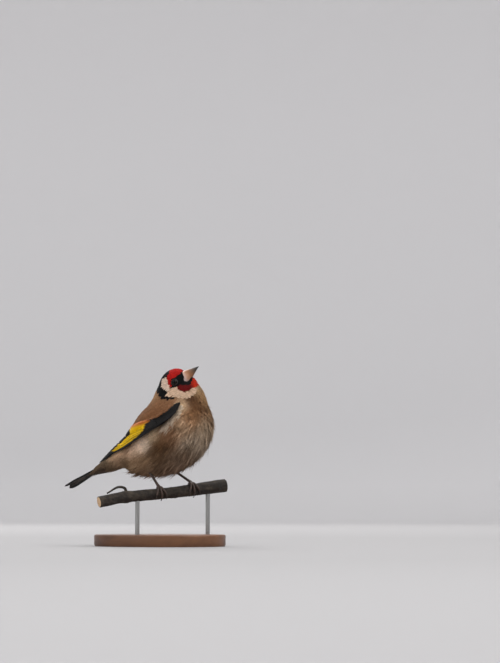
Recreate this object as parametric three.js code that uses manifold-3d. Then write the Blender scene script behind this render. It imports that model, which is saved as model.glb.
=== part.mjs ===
// A life-size European goldfinch, perched on a short cut length of alder branch that a plain display
// stand holds up. Millimetres. +X is the way the body faces, +Y its left side and +Z up. The origin is on
// the floor, under the middle of the stand's base. The bird looks up and forward, its wings folded and its
// breast feathers fluffed.
import * as THREE from "three";
import { mergeVertices } from "three/addons/utils/BufferGeometryUtils.js";
import Module from "manifold-3d";

const wasm = await Module();
wasm.setup();

// Driving dimensions
const GAP = 0.3; // left between pieces that touch
const BILL_PITCH = 37.5; // degrees above level that the bird looks up
const HEAD_CENTRE = new THREE.Vector3(9.5, 0, 111.5);
const EYE_RADIUS = 2.7;
const PERCH_RADIUS = 3.7;
const TARSUS_RADIUS = 0.72;
const BASE = { long: 92, deep: 66, thick: 8, round: 1.2 };
const ROD = { radius: 1.5, sunk: 3 }; // sunk: how deep it goes into the base, in a hole with its gap

// The plumage is a smooth blend of rounded lumps on the mid-plane. Each has its centre (x, z), the pitch of
// its long axis, and its half sizes: along that axis, across it in the mid-plane, and sideways.
const LUMPS = {
  mantle: { at: [-1.8, 81.3], pitch: 46, long: 25, deep: 14.9, half: 14.5 },
  breast: { at: [15, 80], pitch: 62, long: 24.5, deep: 22.4, half: 17.5 },
  belly: { at: [5.5, 67.5], pitch: 20, long: 27, deep: 18.1, half: 17.5 },
  vent: { at: [-9, 62.7], pitch: 25, long: 17.5, deep: 12.8, half: 13 },
  rump: { at: [-24, 64.8], pitch: 38, long: 20.5, deep: 7, half: 9.5 },
  undertail: { at: [-34, 57.8], pitch: 27, long: 15, deep: 3.6, half: 6 },
  throat: { at: [18.6, 97.9], pitch: 60, long: 14.6, deep: 14.2, half: 10.5 },
  chin: { at: [20.4, 107.4], pitch: 60, long: 8.4, deep: 3.8, half: 4 },
  crown: { at: [9.9, 112], pitch: BILL_PITCH, long: 10.5, deep: 8.4, half: 8.1 },
  nape: { at: [4.6, 100.3], pitch: 66, long: 11, deep: 8.5, half: 9.5 },
};
const BLEND = 1.6; // how widely neighbouring lumps run into each other

const UP = new THREE.Vector3(0, 0, 1);
const vec = (x, y, z) => new THREE.Vector3(x, y, z);
const radians = THREE.MathUtils.degToRad;
const smooth = THREE.MathUtils.smoothstep;
const lerp = THREE.MathUtils.lerp;

// Solids
function solidOf(geometry) {
  const bare = geometry.clone();
  for (const name of ["normal", "uv"]) bare.deleteAttribute(name);
  const merged = mergeVertices(bare, 1e-4);
  const index = merged.index.array;
  const corners = [];
  for (let i = 0; i < index.length; i += 3) {
    const [a, b, c] = [index[i], index[i + 1], index[i + 2]];
    if (a !== b && b !== c && c !== a) corners.push(a, b, c);
  }
  const make = (triVerts) =>
    new wasm.Manifold(
      new wasm.Mesh({
        numProp: 3,
        vertProperties: new Float32Array(merged.attributes.position.array),
        triVerts: new Uint32Array(triVerts),
      }),
    );
  const solid = make(corners);
  return solid.volume() >= 0 ? solid : make(corners.reverse());
}

function geometryOf(solid) {
  const mesh = solid.getMesh();
  return new THREE.BufferGeometry()
    .setAttribute("position", new THREE.BufferAttribute(mesh.vertProperties, 3))
    .setIndex(new THREE.BufferAttribute(mesh.triVerts, 1));
}

function fused(pieces) {
  return pieces.reduce((whole, piece) => whole.add(piece));
}

// Keeps the largest closed surface, which drops loose scraps and fills a sealed hollow.
function largest(solid) {
  return solid.decompose().reduce((a, b) => (b.volume() > a.volume() ? b : a));
}

// Cuts away what lies on the far side of a plane, where the normal points.
function trimmed(solid, point, normal) {
  const size = 400;
  const block = new THREE.BoxGeometry(size, size, size);
  block.translate(0, 0, size / 2);
  block.applyQuaternion(new THREE.Quaternion().setFromUnitVectors(UP, normal.clone().normalize()));
  block.translate(point.x, point.y, point.z);
  return solid.subtract(solidOf(block));
}

function mirrored(solid) {
  return solidOf(geometryOf(solid).scale(1, -1, 1));
}

// Closes a run of rings, each with the same number of points, with a fan at both ends.
function loft(rings) {
  const sides = rings[0].length;
  const middle = (ring) => ring.reduce((sum, p) => sum.add(p), vec(0, 0, 0)).divideScalar(sides);
  const points = [...rings.flat(), middle(rings[0]), middle(rings.at(-1))];
  const first = points.length - 2;
  const last = points.length - 1;
  const index = [];
  for (let i = 0; i < sides; i += 1) {
    const j = (i + 1) % sides;
    index.push(first, j, i);
    for (let r = 0; r < rings.length - 1; r += 1) {
      const [a, b] = [r * sides, (r + 1) * sides];
      index.push(a + i, a + j, b + j, a + i, b + j, b + i);
    }
    const end = (rings.length - 1) * sides;
    index.push(last, end + i, end + j);
  }
  const geometry = new THREE.BufferGeometry().setFromPoints(points).setIndex(index);
  return solidOf(geometry);
}

// Closes a thin plate's rings of four corners: low and high on the upper face, then high and low on the
// lower one. Both faces are split along like diagonals, so they keep one thickness where the plate curves.
function plate(rings) {
  const index = [0, 3, 2, 0, 2, 1];
  for (let r = 0; r < rings.length - 1; r += 1) {
    const [a, b] = [4 * r, 4 * r + 4];
    index.push(a, a + 1, b + 1, a, b + 1, b);
    index.push(a + 1, a + 2, b + 2, a + 1, b + 2, b + 1);
    index.push(a + 2, a + 3, b + 2, a + 3, b + 3, b + 2);
    index.push(a + 3, a, b, a + 3, b, b + 3);
  }
  const end = 4 * (rings.length - 1);
  index.push(end, end + 1, end + 2, end, end + 2, end + 3);
  return solidOf(new THREE.BufferGeometry().setFromPoints(rings.flat()).setIndex(index));
}

// A round limb along a smooth curve. radiusAt gives its radius at each share of the way.
function limb(points, radiusAt, sides, steps, grow = 0) {
  const curve = new THREE.CatmullRomCurve3(points);
  const frames = curve.computeFrenetFrames(steps);
  const rings = [];
  for (let i = 0; i <= steps; i += 1) {
    const t = i / steps;
    const centre = curve.getPointAt(t);
    const radius = radiusAt(t) + grow;
    const ring = [];
    for (let k = 0; k < sides; k += 1) {
      const angle = (2 * Math.PI * k) / sides;
      const across = frames.normals[i].clone().multiplyScalar(Math.cos(angle) * radius);
      ring.push(across.addScaledVector(frames.binormals[i], Math.sin(angle) * radius).add(centre));
    }
    rings.push(ring);
  }
  return loft(rings);
}

function ball(centre, radius, detail = 20) {
  const geometry = new THREE.SphereGeometry(radius, detail, Math.round(detail * 0.6));
  return solidOf(geometry.translate(centre.x, centre.y, centre.z));
}

// Plumage surface
// Distance from a point to the plumage's surface: positive outside it, negative inside.
function clearance(p) {
  let sum = 0;
  for (const lump of Object.values(LUMPS)) {
    const [dx, dz] = [p.x - lump.at[0], p.z - lump.at[1]];
    const [c, s] = [Math.cos(radians(lump.pitch)), Math.sin(radians(lump.pitch))];
    const [a, b, h] = [dx * c + dz * s, dz * c - dx * s, p.y];
    const k0 = Math.hypot(a / lump.long, b / lump.deep, h / lump.half);
    const k1 = Math.hypot(a / lump.long ** 2, b / lump.deep ** 2, h / lump.half ** 2) + 1e-9;
    sum += Math.exp((-k0 * (k0 - 1)) / k1 / BLEND);
  }
  return -BLEND * Math.log(sum + 1e-30);
}

function outward(p) {
  const e = 0.05;
  const slope = (axis) => {
    const [ahead, behind] = [p.clone(), p.clone()];
    ahead[axis] += e;
    behind[axis] -= e;
    return clearance(ahead) - clearance(behind);
  };
  return vec(slope("x"), slope("y"), slope("z")).normalize();
}

// Where a ray from an inner point leaves the plumage, grown by some millimetres.
function surfacePoint(centre, direction, grow = 0) {
  let inside = 0;
  let outside = 1;
  const at = (reach) => centre.clone().addScaledVector(direction, reach);
  while (clearance(at(outside)) < grow) {
    inside = outside;
    outside += 1;
  }
  for (let i = 0; i < 22; i += 1) {
    const reach = (inside + outside) / 2;
    if (clearance(at(reach)) < grow) inside = reach;
    else outside = reach;
  }
  return at(outside);
}

// A sphere whose vertices are moved out to the plumage's surface, with its poles on the given axis.
function plumageFrom(centre, pole, around, along, grow = 0) {
  const geometry = new THREE.SphereGeometry(1, around, along);
  const place = geometry.attributes.position;
  const turn = new THREE.Quaternion().setFromUnitVectors(vec(0, 1, 0), pole.clone().normalize());
  const exact = 1e6; // rounds each direction, so that both sides of the sphere's seam land on one point
  for (let i = 0; i < place.count; i += 1) {
    const direction = vec(place.getX(i), place.getY(i), place.getZ(i));
    direction.multiplyScalar(exact).round().divideScalar(exact).normalize().applyQuaternion(turn);
    const p = surfacePoint(centre, direction, grow);
    place.setXYZ(i, p.x, p.y, p.z);
  }
  return solidOf(geometry);
}

const BODY_AXIS = vec(0.75, 0, 0.66);
const headForm = (grow) => plumageFrom(vec(11, 0, 108), vec(0.79, 0, 0.61), 30, 23, grow);
const torsoForm = (grow) => plumageFrom(vec(7, 0, 78), BODY_AXIS, 32, 24, grow);
const rumpForm = (grow) => plumageFrom(vec(-25, 0, 61.5), BODY_AXIS, 22, 20, grow);

// Planes that part the plumage into nodes: a point and the normal towards the head.
const HEAD_PLANE = { at: vec(12, 0, 104.4), normal: vec(-0.13, 0, 1) };
const NECK_PLANE = { at: vec(12, 0, 95.8), normal: vec(0.02, 0, 1) };
const RUMP_PLANE = { at: vec(-21, 0, 65), normal: vec(0.9, 0, 0.42) };
const TAIL_PLANE = { at: vec(-41.5, 0, 54.3), normal: vec(0.86, 0, 0.51) };

function between(solid, ahead, behind) {
  const shift = (plane, way) => {
    const normal = plane.normal.clone().normalize();
    return plane.at.clone().addScaledVector(normal, (way * GAP) / 2);
  };
  let kept = solid;
  if (ahead) kept = trimmed(kept, shift(ahead, -1), ahead.normal);
  if (behind) kept = trimmed(kept, shift(behind, 1), behind.normal.clone().negate());
  return kept;
}

// Head and bill
const forward = vec(Math.cos(radians(BILL_PITCH)), 0, Math.sin(radians(BILL_PITCH)));
const crownward = vec(-forward.z, 0, forward.x);

function headPoint(ahead, side, above) {
  return HEAD_CENTRE.clone()
    .addScaledVector(forward, ahead)
    .addScaledVector(crownward, above)
    .setY(side);
}

// A hollow at each corner of the gape, where the bill's lower half shows beside the chin's feathers. Its
// half sizes are along the head, across it in the mid-plane, and sideways.
const GAPE = { ahead: 10.6, side: 6, above: -5.2, long: 3, deep: 2.4, half: 4.7 };

function gapeHollow(side, grow) {
  const hollow = new THREE.SphereGeometry(1, 14, 9);
  hollow.scale(GAPE.long - grow, GAPE.deep - grow, GAPE.half - grow);
  hollow.applyMatrix4(new THREE.Matrix4().makeBasis(forward, crownward, vec(0, -1, 0)));
  const at = headPoint(GAPE.ahead, side * GAPE.side, GAPE.above);
  return solidOf(hollow.translate(at.x, at.y, at.z));
}

const headPlumage = (grow) => headForm(grow).subtract(gapeHollow(1, grow)).subtract(gapeHollow(-1, grow));
const grownBody = fused([
  headPlumage(GAP),
  between(torsoForm(GAP), NECK_PLANE, null),
  between(rumpForm(GAP), RUMP_PLANE, null),
]);

// The eye's place on the head, how far its centre is under the face, and how much it looks ahead.
const EYE = { ahead: 2.1, above: -2.4, sunk: 1.8, turn: 0.08 };
const LIDS = { radius: 2.4, thick: 0.5 };

const eyeAxis = (side) => vec(EYE.turn * forward.x, side, EYE.turn * forward.z).normalize();

function eyeCentre(side) {
  const inner = headPoint(EYE.ahead, 0, EYE.above);
  return surfacePoint(inner, eyeAxis(side)).addScaledVector(eyeAxis(side), -EYE.sunk);
}

// The rim of lids round an eye, standing a little proud of the face.
function lids(side) {
  const ring = new THREE.TorusGeometry(LIDS.radius, LIDS.thick, 6, 18);
  ring.applyQuaternion(new THREE.Quaternion().setFromUnitVectors(UP, eyeAxis(side)));
  const centre = eyeCentre(side).addScaledVector(eyeAxis(side), EYE.sunk);
  return solidOf(ring.translate(centre.x, centre.y, centre.z));
}

const BILL_MIDDLE = -2.75; // height on the head
// Each row: distance ahead of the head's centre, half width, height above the bill's middle, depth below it.
const BILL_SECTIONS = [
  [5.5, 4.4, 4.9, 6.4],
  [9.3, 3.9, 4.55, 5.1],
  [12, 3, 3.8, 3.5],
  [14.5, 2.15, 2.85, 2.35],
  [17, 1.35, 1.85, 1.4],
  [19, 0.72, 1, 0.68],
  [20.5, 0.28, 0.4, 0.22],
  [21.05, 0.08, 0.1, 0.06],
];

function billForm() {
  const sides = 16;
  const full = (value) => Math.sign(value) * Math.abs(value) ** 0.75; // fuller than an ellipse
  const rings = BILL_SECTIONS.map(([ahead, half, above, below]) => {
    const ring = [];
    for (let k = 0; k < sides; k += 1) {
      const angle = (2 * Math.PI * k) / sides;
      const rise = full(Math.sin(angle));
      const height = BILL_MIDDLE + rise * (rise > 0 ? above : below);
      ring.push(headPoint(ahead, half * full(Math.cos(angle)), height));
    }
    return ring;
  });
  return loft(rings);
}

const NOSTRIL = { ahead: 12, side: 2.65, above: -0.75, radius: 0.42 };

// The line of the mouth runs back from the tip, then turns down to the corner of the gape.
const MOUTH = [
  [24, -2.92],
  [12.8, -3.7],
  [8.6, -6.6],
  [3, -11],
];

// A block on one side of the mouth's line, half the gap away from it: way 1 is above the line, -1 below.
function mouthBlock(way) {
  const line = MOUTH.map(([ahead, above]) => new THREE.Vector2(ahead, above + (way * GAP) / 2));
  const [far, wide] = [way * 30, 20]; // past the bill's outline
  const corners = [line.at(-1), line[0]].map((end) => new THREE.Vector2(end.x, far));
  const shape = new THREE.Shape([...line, ...corners]);
  const block = new THREE.ExtrudeGeometry(shape, { depth: wide, bevelEnabled: false });
  block.translate(0, 0, -wide / 2);
  block.applyMatrix4(new THREE.Matrix4().makeBasis(forward, crownward, vec(0, -1, 0)));
  return solidOf(block.translate(HEAD_CENTRE.x, 0, HEAD_CENTRE.z));
}

function nostril(side) {
  return ball(headPoint(NOSTRIL.ahead, side * NOSTRIL.side, NOSTRIL.above), NOSTRIL.radius, 7);
}

function billHalves() {
  const shown = billForm().subtract(grownBody);
  return {
    upper: largest(shown.intersect(mouthBlock(1)).subtract(nostril(1)).subtract(nostril(-1))),
    lower: largest(shown.intersect(mouthBlock(-1))),
  };
}

function headSolid() {
  let head = between(headPlumage(0), null, HEAD_PLANE);
  for (const side of [1, -1]) head = head.add(lids(side));
  for (const side of [1, -1]) head = head.subtract(ball(eyeCentre(side), EYE_RADIUS + GAP, 14));
  return largest(head);
}

// Wings
// A folded right wing lies between two curves, from the bend at its front to the tip: the lower edge, along
// the outer primary, and the upper edge, along the inner feathers by the back.
const LOWER_EDGE = new THREE.CatmullRomCurve3([
  vec(20, -14, 95.8),
  vec(15.3, -18.3, 87.4),
  vec(-0.5, -20.4, 77),
  vec(-12.4, -17.8, 70.1),
  vec(-21, -14.3, 65.5),
  vec(-29.1, -10.6, 62.8),
  vec(-36.4, -7, 59.5),
  vec(-43, -4.2, 55.8),
]);
const UPPER_EDGE = new THREE.CatmullRomCurve3([
  vec(18, -12.4, 98.2),
  vec(12, -15, 92.3),
  vec(4.4, -15.6, 87.9),
  vec(-1.3, -15, 85.6),
  vec(-8.3, -13, 82.9),
  vec(-14.1, -10.3, 80.9),
  vec(-19.9, -6.3, 78.4),
  vec(-25.7, -4.6, 72.9),
  vec(-30.9, -3.6, 67.9),
  vec(-36, -2.9, 62.7),
  vec(-42.6, -2.4, 56.6),
]);
const WING_LIE = 0.9; // the wing's middle lies at least this far outside the plumage

// A point of the right wing: the share of the way from bend to tip, the share from lower to upper edge, and
// the lift off the wing's middle surface in millimetres.
function wingPoint(along, across, lift) {
  const u = THREE.MathUtils.clamp(along, 0, 1);
  const p = LOWER_EDGE.getPointAt(u).lerp(UPPER_EDGE.getPointAt(u), across);
  for (let i = 0; i < 3; i += 1) {
    const short = WING_LIE - clearance(p);
    if (short > 0) p.addScaledVector(outward(p), short);
  }
  return p.addScaledVector(wingNormal(u), lift);
}

function wingNormal(u) {
  const [ahead, behind] = [Math.min(u + 0.04, 1), Math.max(u - 0.04, 0)];
  const run = LOWER_EDGE.getPointAt(ahead).sub(LOWER_EDGE.getPointAt(behind));
  const chord = UPPER_EDGE.getPointAt(u).sub(LOWER_EDGE.getPointAt(u));
  return chord.cross(run).normalize();
}

const chord = (u) => UPPER_EDGE.getPointAt(u).distanceTo(LOWER_EDGE.getPointAt(u));

// The wing's core, a smooth blade just inside its outline, and its half thickness to either face.
const CORE = { above: 0.3, below: 0.55 };

function wingCore() {
  const [sides, steps] = [6, 11];
  const rings = [];
  for (let i = 0; i <= steps; i += 1) {
    const half = 0.46 * Math.sqrt(Math.sin(Math.PI * lerp(0.04, 0.97, i / steps)));
    const ring = [];
    for (let k = 0; k < sides; k += 1) {
      const angle = (2 * Math.PI * k) / sides;
      const lift = Math.sin(angle) * (Math.sin(angle) > 0 ? CORE.above : CORE.below);
      ring.push(wingPoint(lerp(0.025, 0.92, i / steps), 0.5 + half * Math.cos(angle), lift));
    }
    rings.push(ring);
  }
  return loft(rings);
}

const VANE_THICKNESS = 0.5;
const VANE_TILT = 0.16; // rise towards the edge that shows, in millimetres a millimetre
// Share of the way from root to tip, and share of the full width there.
const LONG_OUTLINE = [
  [0, 0.75],
  [0.38, 1],
  [0.72, 0.95],
  [0.93, 0.55],
  [1, 0.18],
];
const SHORT_OUTLINE = [
  [0, 0.75],
  [0.55, 1],
  [0.88, 0.7],
  [1, 0.3],
];

// Rows of the wing's feathers from the lowest layer up. from and to give the first and the last feather: the
// root and the tip as shares [along, across] of the wing, and the height over the core. half is half the
// width in millimetres.
const WING_ROWS = {
  primary: {
    count: 6,
    half: 2.4,
    from: { root: [0.34, 0.12], tip: [1, 0.42], lift: 0 },
    to: { root: [0.34, 0.42], tip: [0.76, 0.8], lift: 0.4 },
  },
  secondary: {
    count: 4,
    half: 2.5,
    from: { root: [0.34, 0.42], tip: [0.71, 0.52], lift: 0.45 },
    to: { root: [0.34, 0.72], tip: [0.62, 0.86], lift: 0.6 },
  },
  tertial: {
    count: 3,
    half: 2.6,
    from: { root: [0.34, 0.78], tip: [0.74, 0.78], lift: 0.7 },
    to: { root: [0.34, 0.9], tip: [0.55, 0.88], lift: 0.95 },
  },
  primaryCovert: {
    count: 2,
    half: 1.5,
    from: { root: [0.2, 0.12], tip: [0.44, 0.1], lift: 0.45 },
    to: { root: [0.2, 0.28], tip: [0.39, 0.28], lift: 0.6 },
  },
  greaterCovert: {
    count: 5,
    half: 1.9,
    from: { root: [0.19, 0.34], tip: [0.4, 0.34], lift: 0.75 },
    to: { root: [0.2, 0.9], tip: [0.4, 0.92], lift: 0.9 },
  },
  alula: {
    count: 1,
    half: 1.3,
    from: { root: [0.09, 0.25], tip: [0.27, 0.12], lift: 0.85 },
    to: { root: [0.09, 0.25], tip: [0.27, 0.12], lift: 0.85 },
  },
  medianCovert: {
    count: 4,
    half: 1.5,
    from: { root: [0.09, 0.38], tip: [0.23, 0.38], lift: 0.95 },
    to: { root: [0.1, 0.85], tip: [0.25, 0.88], lift: 1.05 },
  },
  lesserCovert: {
    count: 3,
    half: 1.4,
    from: { root: [0.02, 0.35], tip: [0.11, 0.3], lift: 1 },
    to: { root: [0.02, 0.75], tip: [0.12, 0.8], lift: 1.1 },
  },
};
const LONG_FEATHER = 0.25; // from this share of the wing on, a feather has the long outline

// One feather of a wing row, with its root sunk in the layers below.
function wingVane(row, share) {
  const pair = (end) => row.from[end].map((value, axis) => lerp(value, row.to[end][axis], share));
  const [root, tip] = [pair("root"), pair("tip")];
  const top = lerp(row.from.lift, row.to.lift, share);
  const outline = tip[0] - root[0] > LONG_FEATHER ? LONG_OUTLINE : SHORT_OUTLINE;
  const rings = outline.map(([t, width]) => {
    const along = lerp(root[0], tip[0], t);
    const middle = lerp(root[1], tip[1], t);
    const half = (row.half * width) / Math.max(chord(along), 3);
    const margin = 0.14 * (1 - smooth(t, 0, 0.4));
    const [low, high] = [Math.max(middle - half, margin), Math.min(middle + half, 1 - margin)];
    const lift = lerp(0, top, smooth(t, 0, 0.5)) + CORE.above - VANE_THICKNESS;
    const rise = VANE_TILT * row.half * width;
    return [
      wingPoint(along, low, lift + rise + VANE_THICKNESS),
      wingPoint(along, high, lift - rise + VANE_THICKNESS),
      wingPoint(along, high, lift - rise),
      wingPoint(along, low, lift + rise),
    ];
  });
  return plate(rings);
}

function wingSolid() {
  const vanes = [];
  for (const row of Object.values(WING_ROWS)) {
    for (let i = 0; i < row.count; i += 1) vanes.push(wingVane(row, i / Math.max(row.count - 1, 1)));
  }
  return largest(fused([wingCore(), ...vanes]).subtract(grownBody));
}

// Tail
const TAIL_ROOT = vec(-36, 0, 57.4);
const TAIL_FALL = 28; // degrees below level
const TAIL_LENGTH = 36.3; // from that root, inside the rump, to the outer tips
const TAIL_FORK = 3.4; // how far the middle tips fall short of the outer ones
const TAIL_ROLL = { root: 2, tip: 12 }; // degrees that the tail is twisted, right edge up
const TAIL_PAIRS = 6;
const TAIL_DROOP = 0.1; // fall of each feather towards its outer edge, in millimetres a millimetre
const tailBack = vec(-Math.cos(radians(TAIL_FALL)), 0, -Math.sin(radians(TAIL_FALL)));

function tailPoint(along, side, lift) {
  const roll = lerp(TAIL_ROLL.root, TAIL_ROLL.tip, smooth(along / TAIL_LENGTH, 0.15, 0.8));
  const across = vec(0, 1, 0).applyAxisAngle(tailBack, radians(roll));
  return TAIL_ROOT.clone()
    .addScaledVector(tailBack, along)
    .addScaledVector(across, side)
    .addScaledVector(across.clone().cross(tailBack), lift);
}

// A tail feather of one pair. Pairs count from the middle one, which is on top. Outer edges droop a little.
function tailVane(pair, side) {
  const length = TAIL_LENGTH - TAIL_FORK * (1 - pair / (TAIL_PAIRS - 1)) ** 1.3;
  const rings = LONG_OUTLINE.map(([t, width]) => {
    const half = lerp(1.6, 3, t ** 0.8) * width;
    const middle = side * lerp(0.5 + 0.15 * pair, 1.2 + 0.5 * pair, t);
    const layer = 0.75 - 0.24 * pair + 0.08 * side;
    const at = (aside, lift) =>
      tailPoint(t * length, middle + side * aside, layer + lift - TAIL_DROOP * aside);
    return [
      at(-half, VANE_THICKNESS),
      at(half, VANE_THICKNESS),
      at(half, 0),
      at(-half, 0),
    ];
  });
  return plate(rings);
}

function tailSolid() {
  const vanes = [];
  for (let pair = 0; pair < TAIL_PAIRS; pair += 1) {
    for (const side of [-1, 1]) vanes.push(tailVane(pair, side));
  }
  return largest(between(fused(vanes), TAIL_PLANE, null));
}

// Perch
const PERCH_POINTS = [
  [-43.6, 30],
  [-25.3, 33.3],
  [-5.5, 35],
  [14, 36.9],
  [33.4, 39.4],
  [48.8, 41.4],
];
const PERCH_HEADING = 42; // degrees that the branch runs off to the bird's left
const PERCH_START = vec(2.5, -8, 0);
const perchRun = vec(Math.cos(radians(PERCH_HEADING)), Math.sin(radians(PERCH_HEADING)), 0);
const PERCH = new THREE.CatmullRomCurve3(
  PERCH_POINTS.map(([run, z]) => PERCH_START.clone().addScaledVector(perchRun, run).setZ(z)),
);

// A collar round the branch, where a thin twig leaves it and arches back: its place, height and width.
const COLLAR = { share: 0.21, rise: 0.45, wide: 0.025 };

function perchRadius(t) {
  const collar = COLLAR.rise * Math.exp(-(((t - COLLAR.share) / COLLAR.wide) ** 2));
  return lerp(PERCH_RADIUS, PERCH_RADIUS + 0.75, smooth(t, 0.55, 1)) + collar;
}

function perchForm(grow = 0) {
  return limb(PERCH.getPoints(24), perchRadius, 12, 18, grow);
}

function perchSolid() {
  const root = PERCH.getPointAt(COLLAR.share);
  const arch = [vec(0, 0, 0), vec(-0.5, -0.5, 5.6), vec(-4, -3.6, 6.6), vec(-10, -9.4, 2.4)];
  const path = arch.map((p) => p.add(root));
  return perchForm().add(limb(path, (t) => lerp(1.1, 0.55, t), 7, 8));
}

// Legs and feet
const FEET = [
  { side: "right", inner: 1, share: 0.47, heel: vec(-5.9, -8.5, 52.8) },
  { side: "left", inner: -1, share: 0.73, heel: vec(7.1, 8, 51.8) },
];
const HUB_RADIUS = 1.15;
// Each toe from the hind one round: which way it goes over the perch, how far round it ends and how far
// sideways, in degrees and millimetres, and the degrees that its claw adds.
const TOES = [
  { way: -1, round: 92, aside: 0.6, claw: 58 },
  { way: 1, round: 104, aside: 3.6, claw: 44 },
  { way: 1, round: 126, aside: 0.2, claw: 46 },
  { way: 1, round: 102, aside: -3.8, claw: 44 },
];
const TOE_RADIUS = 0.85;

// A point over the perch at a foot, from the degrees round from its top to its front, the height off the
// bark and the distance aside.
function overPerch(foot, degrees, height, aside) {
  const along = PERCH.getTangentAt(foot.share);
  const top = UP.clone().addScaledVector(along, -along.z).normalize();
  const front = along.clone().cross(top);
  const reach = perchRadius(foot.share) + height;
  return PERCH.getPointAt(foot.share)
    .addScaledVector(along, aside * foot.inner)
    .addScaledVector(top, reach * Math.cos(radians(degrees)))
    .addScaledVector(front, reach * Math.sin(radians(degrees)));
}

const hubPoint = (foot) => overPerch(foot, 0, GAP + HUB_RADIUS, 0);

function toeForm(foot, toe, grow = 0) {
  const path = [hubPoint(foot)];
  for (const share of [0.25, 0.5, 0.75, 1]) {
    const height = GAP + TOE_RADIUS - 0.1 * share;
    path.push(overPerch(foot, toe.way * toe.round * share, height, toe.aside * share));
  }
  const pads = (t) => TOE_RADIUS * (1 - 0.22 * t) + 0.07 * Math.cos(6 * Math.PI * t);
  return limb(path, pads, 6, 8, grow);
}

function footForm(foot, grow = 0) {
  const hub = ball(hubPoint(foot), HUB_RADIUS + grow, 8);
  return fused([hub, ...TOES.map((toe) => toeForm(foot, toe, grow))]);
}

function clawSolid(foot, toe) {
  const start = toe.round + 4;
  const path = [
    [0, 0.62, 1],
    [0.3, 1, 1.04],
    [0.65, 1.15, 1.07],
    [1, 0.5, 1.1],
  ];
  const points = path.map(([share, height, out]) =>
    overPerch(foot, toe.way * (start + toe.claw * share), GAP + height, toe.aside * out),
  );
  return limb(points, (t) => lerp(0.52, 0.1, t), 6, 5);
}

function legSolid(foot) {
  const thick = (t) => TARSUS_RADIUS * (1 + 0.3 * (2 * t - 1) ** 4);
  const shank = limb([hubPoint(foot), hubPoint(foot).lerp(foot.heel, 0.5), foot.heel], thick, 10, 8);
  return largest(shank.subtract(footForm(foot, GAP)).subtract(grownBody));
}

// Stand
const RODS = [
  { name: "back", share: 0.3 },
  { name: "front", share: 0.86 },
];

function rodForm(rod, grow = 0) {
  const top = PERCH.getPointAt(rod.share);
  const low = BASE.thick - ROD.sunk - grow;
  const height = top.z - 1 + grow - low;
  const geometry = new THREE.CylinderGeometry(ROD.radius + grow, ROD.radius + grow, height, 16);
  geometry.rotateX(Math.PI / 2);
  return solidOf(geometry.translate(top.x, top.y, low + height / 2));
}

const grownRods = fused(RODS.map((rod) => rodForm(rod, GAP)));

function baseSolid() {
  const { long, deep, thick, round } = BASE;
  const bevel = (2 * round) / long;
  const profile = [
    [0, 0],
    [1 - bevel / 2, 0],
    [1, round],
    [1, thick - round],
    [1 - bevel, thick],
    [0, thick],
  ];
  const outline = profile.map(([x, y]) => new THREE.Vector2(x, y));
  const geometry = new THREE.LatheGeometry(outline, 44);
  geometry.rotateX(Math.PI / 2);
  return solidOf(geometry.scale(long / 2, deep / 2, 1));
}

// Build
const FINISH = {
  buff: { color: 0xa08469, roughness: 0.9 },
  brown: { color: 0x7d5c45, roughness: 0.9 },
  black: { color: 0x14110f, roughness: 0.7 },
  horn: { color: 0xc9ab90, roughness: 0.4 },
  eye: { color: 0x0a0706, roughness: 0.1 },
  leg: { color: 0x4a352c, roughness: 0.6 },
  bark: { color: 0x4b4038, roughness: 0.9 },
  board: { color: 0x6b4a31, roughness: 0.5 },
  steel: { color: 0x9a9a98, roughness: 0.35, metalness: 1 },
};

function node(group, name, solid, finish) {
  const mesh = new THREE.Mesh(geometryOf(solid), new THREE.MeshStandardMaterial(finish));
  mesh.name = name;
  group.add(mesh);
}

const bird = new THREE.Group();
const wing = wingSolid();
const bill = billHalves();
node(bird, "head", headSolid(), FINISH.brown);
node(bird, "bill_upper", bill.upper, FINISH.horn);
node(bird, "bill_lower", bill.lower, FINISH.horn);
node(bird, "eye_right", ball(eyeCentre(-1), EYE_RADIUS, 16), FINISH.eye);
node(bird, "eye_left", ball(eyeCentre(1), EYE_RADIUS, 16), FINISH.eye);
node(bird, "neck", largest(between(headForm(0), HEAD_PLANE, NECK_PLANE)), FINISH.brown);
node(bird, "torso", largest(between(torsoForm(0), NECK_PLANE, RUMP_PLANE)), FINISH.buff);
node(bird, "rump", largest(between(rumpForm(0), RUMP_PLANE, TAIL_PLANE)), FINISH.buff);
node(bird, "tail", tailSolid(), FINISH.black);
node(bird, "wing_right", wing, FINISH.black);
node(bird, "wing_left", mirrored(wing), FINISH.black);

const grownPerch = perchForm(GAP);
for (const foot of FEET) {
  node(bird, `leg_${foot.side}`, legSolid(foot), FINISH.leg);
  node(bird, `foot_${foot.side}`, largest(footForm(foot).subtract(grownPerch)), FINISH.leg);
  TOES.forEach((toe, i) => {
    const claw = largest(clawSolid(foot, toe).subtract(grownPerch));
    node(bird, `claw_${foot.side}_${i + 1}`, claw, FINISH.leg);
  });
}

const stand = new THREE.Group();
node(stand, "perch", largest(perchSolid().subtract(grownRods)), FINISH.bark);
node(stand, "stand_base", baseSolid().subtract(grownRods), FINISH.board);
for (const rod of RODS) node(stand, `stand_rod_${rod.name}`, rodForm(rod), FINISH.steel);

const goldfinch = new THREE.Group();
goldfinch.add(bird, stand);

export default goldfinch;
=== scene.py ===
import math

import bmesh
import bpy
import numpy as np
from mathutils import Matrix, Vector, noise
from mathutils.bvhtree import BVHTree


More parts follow.
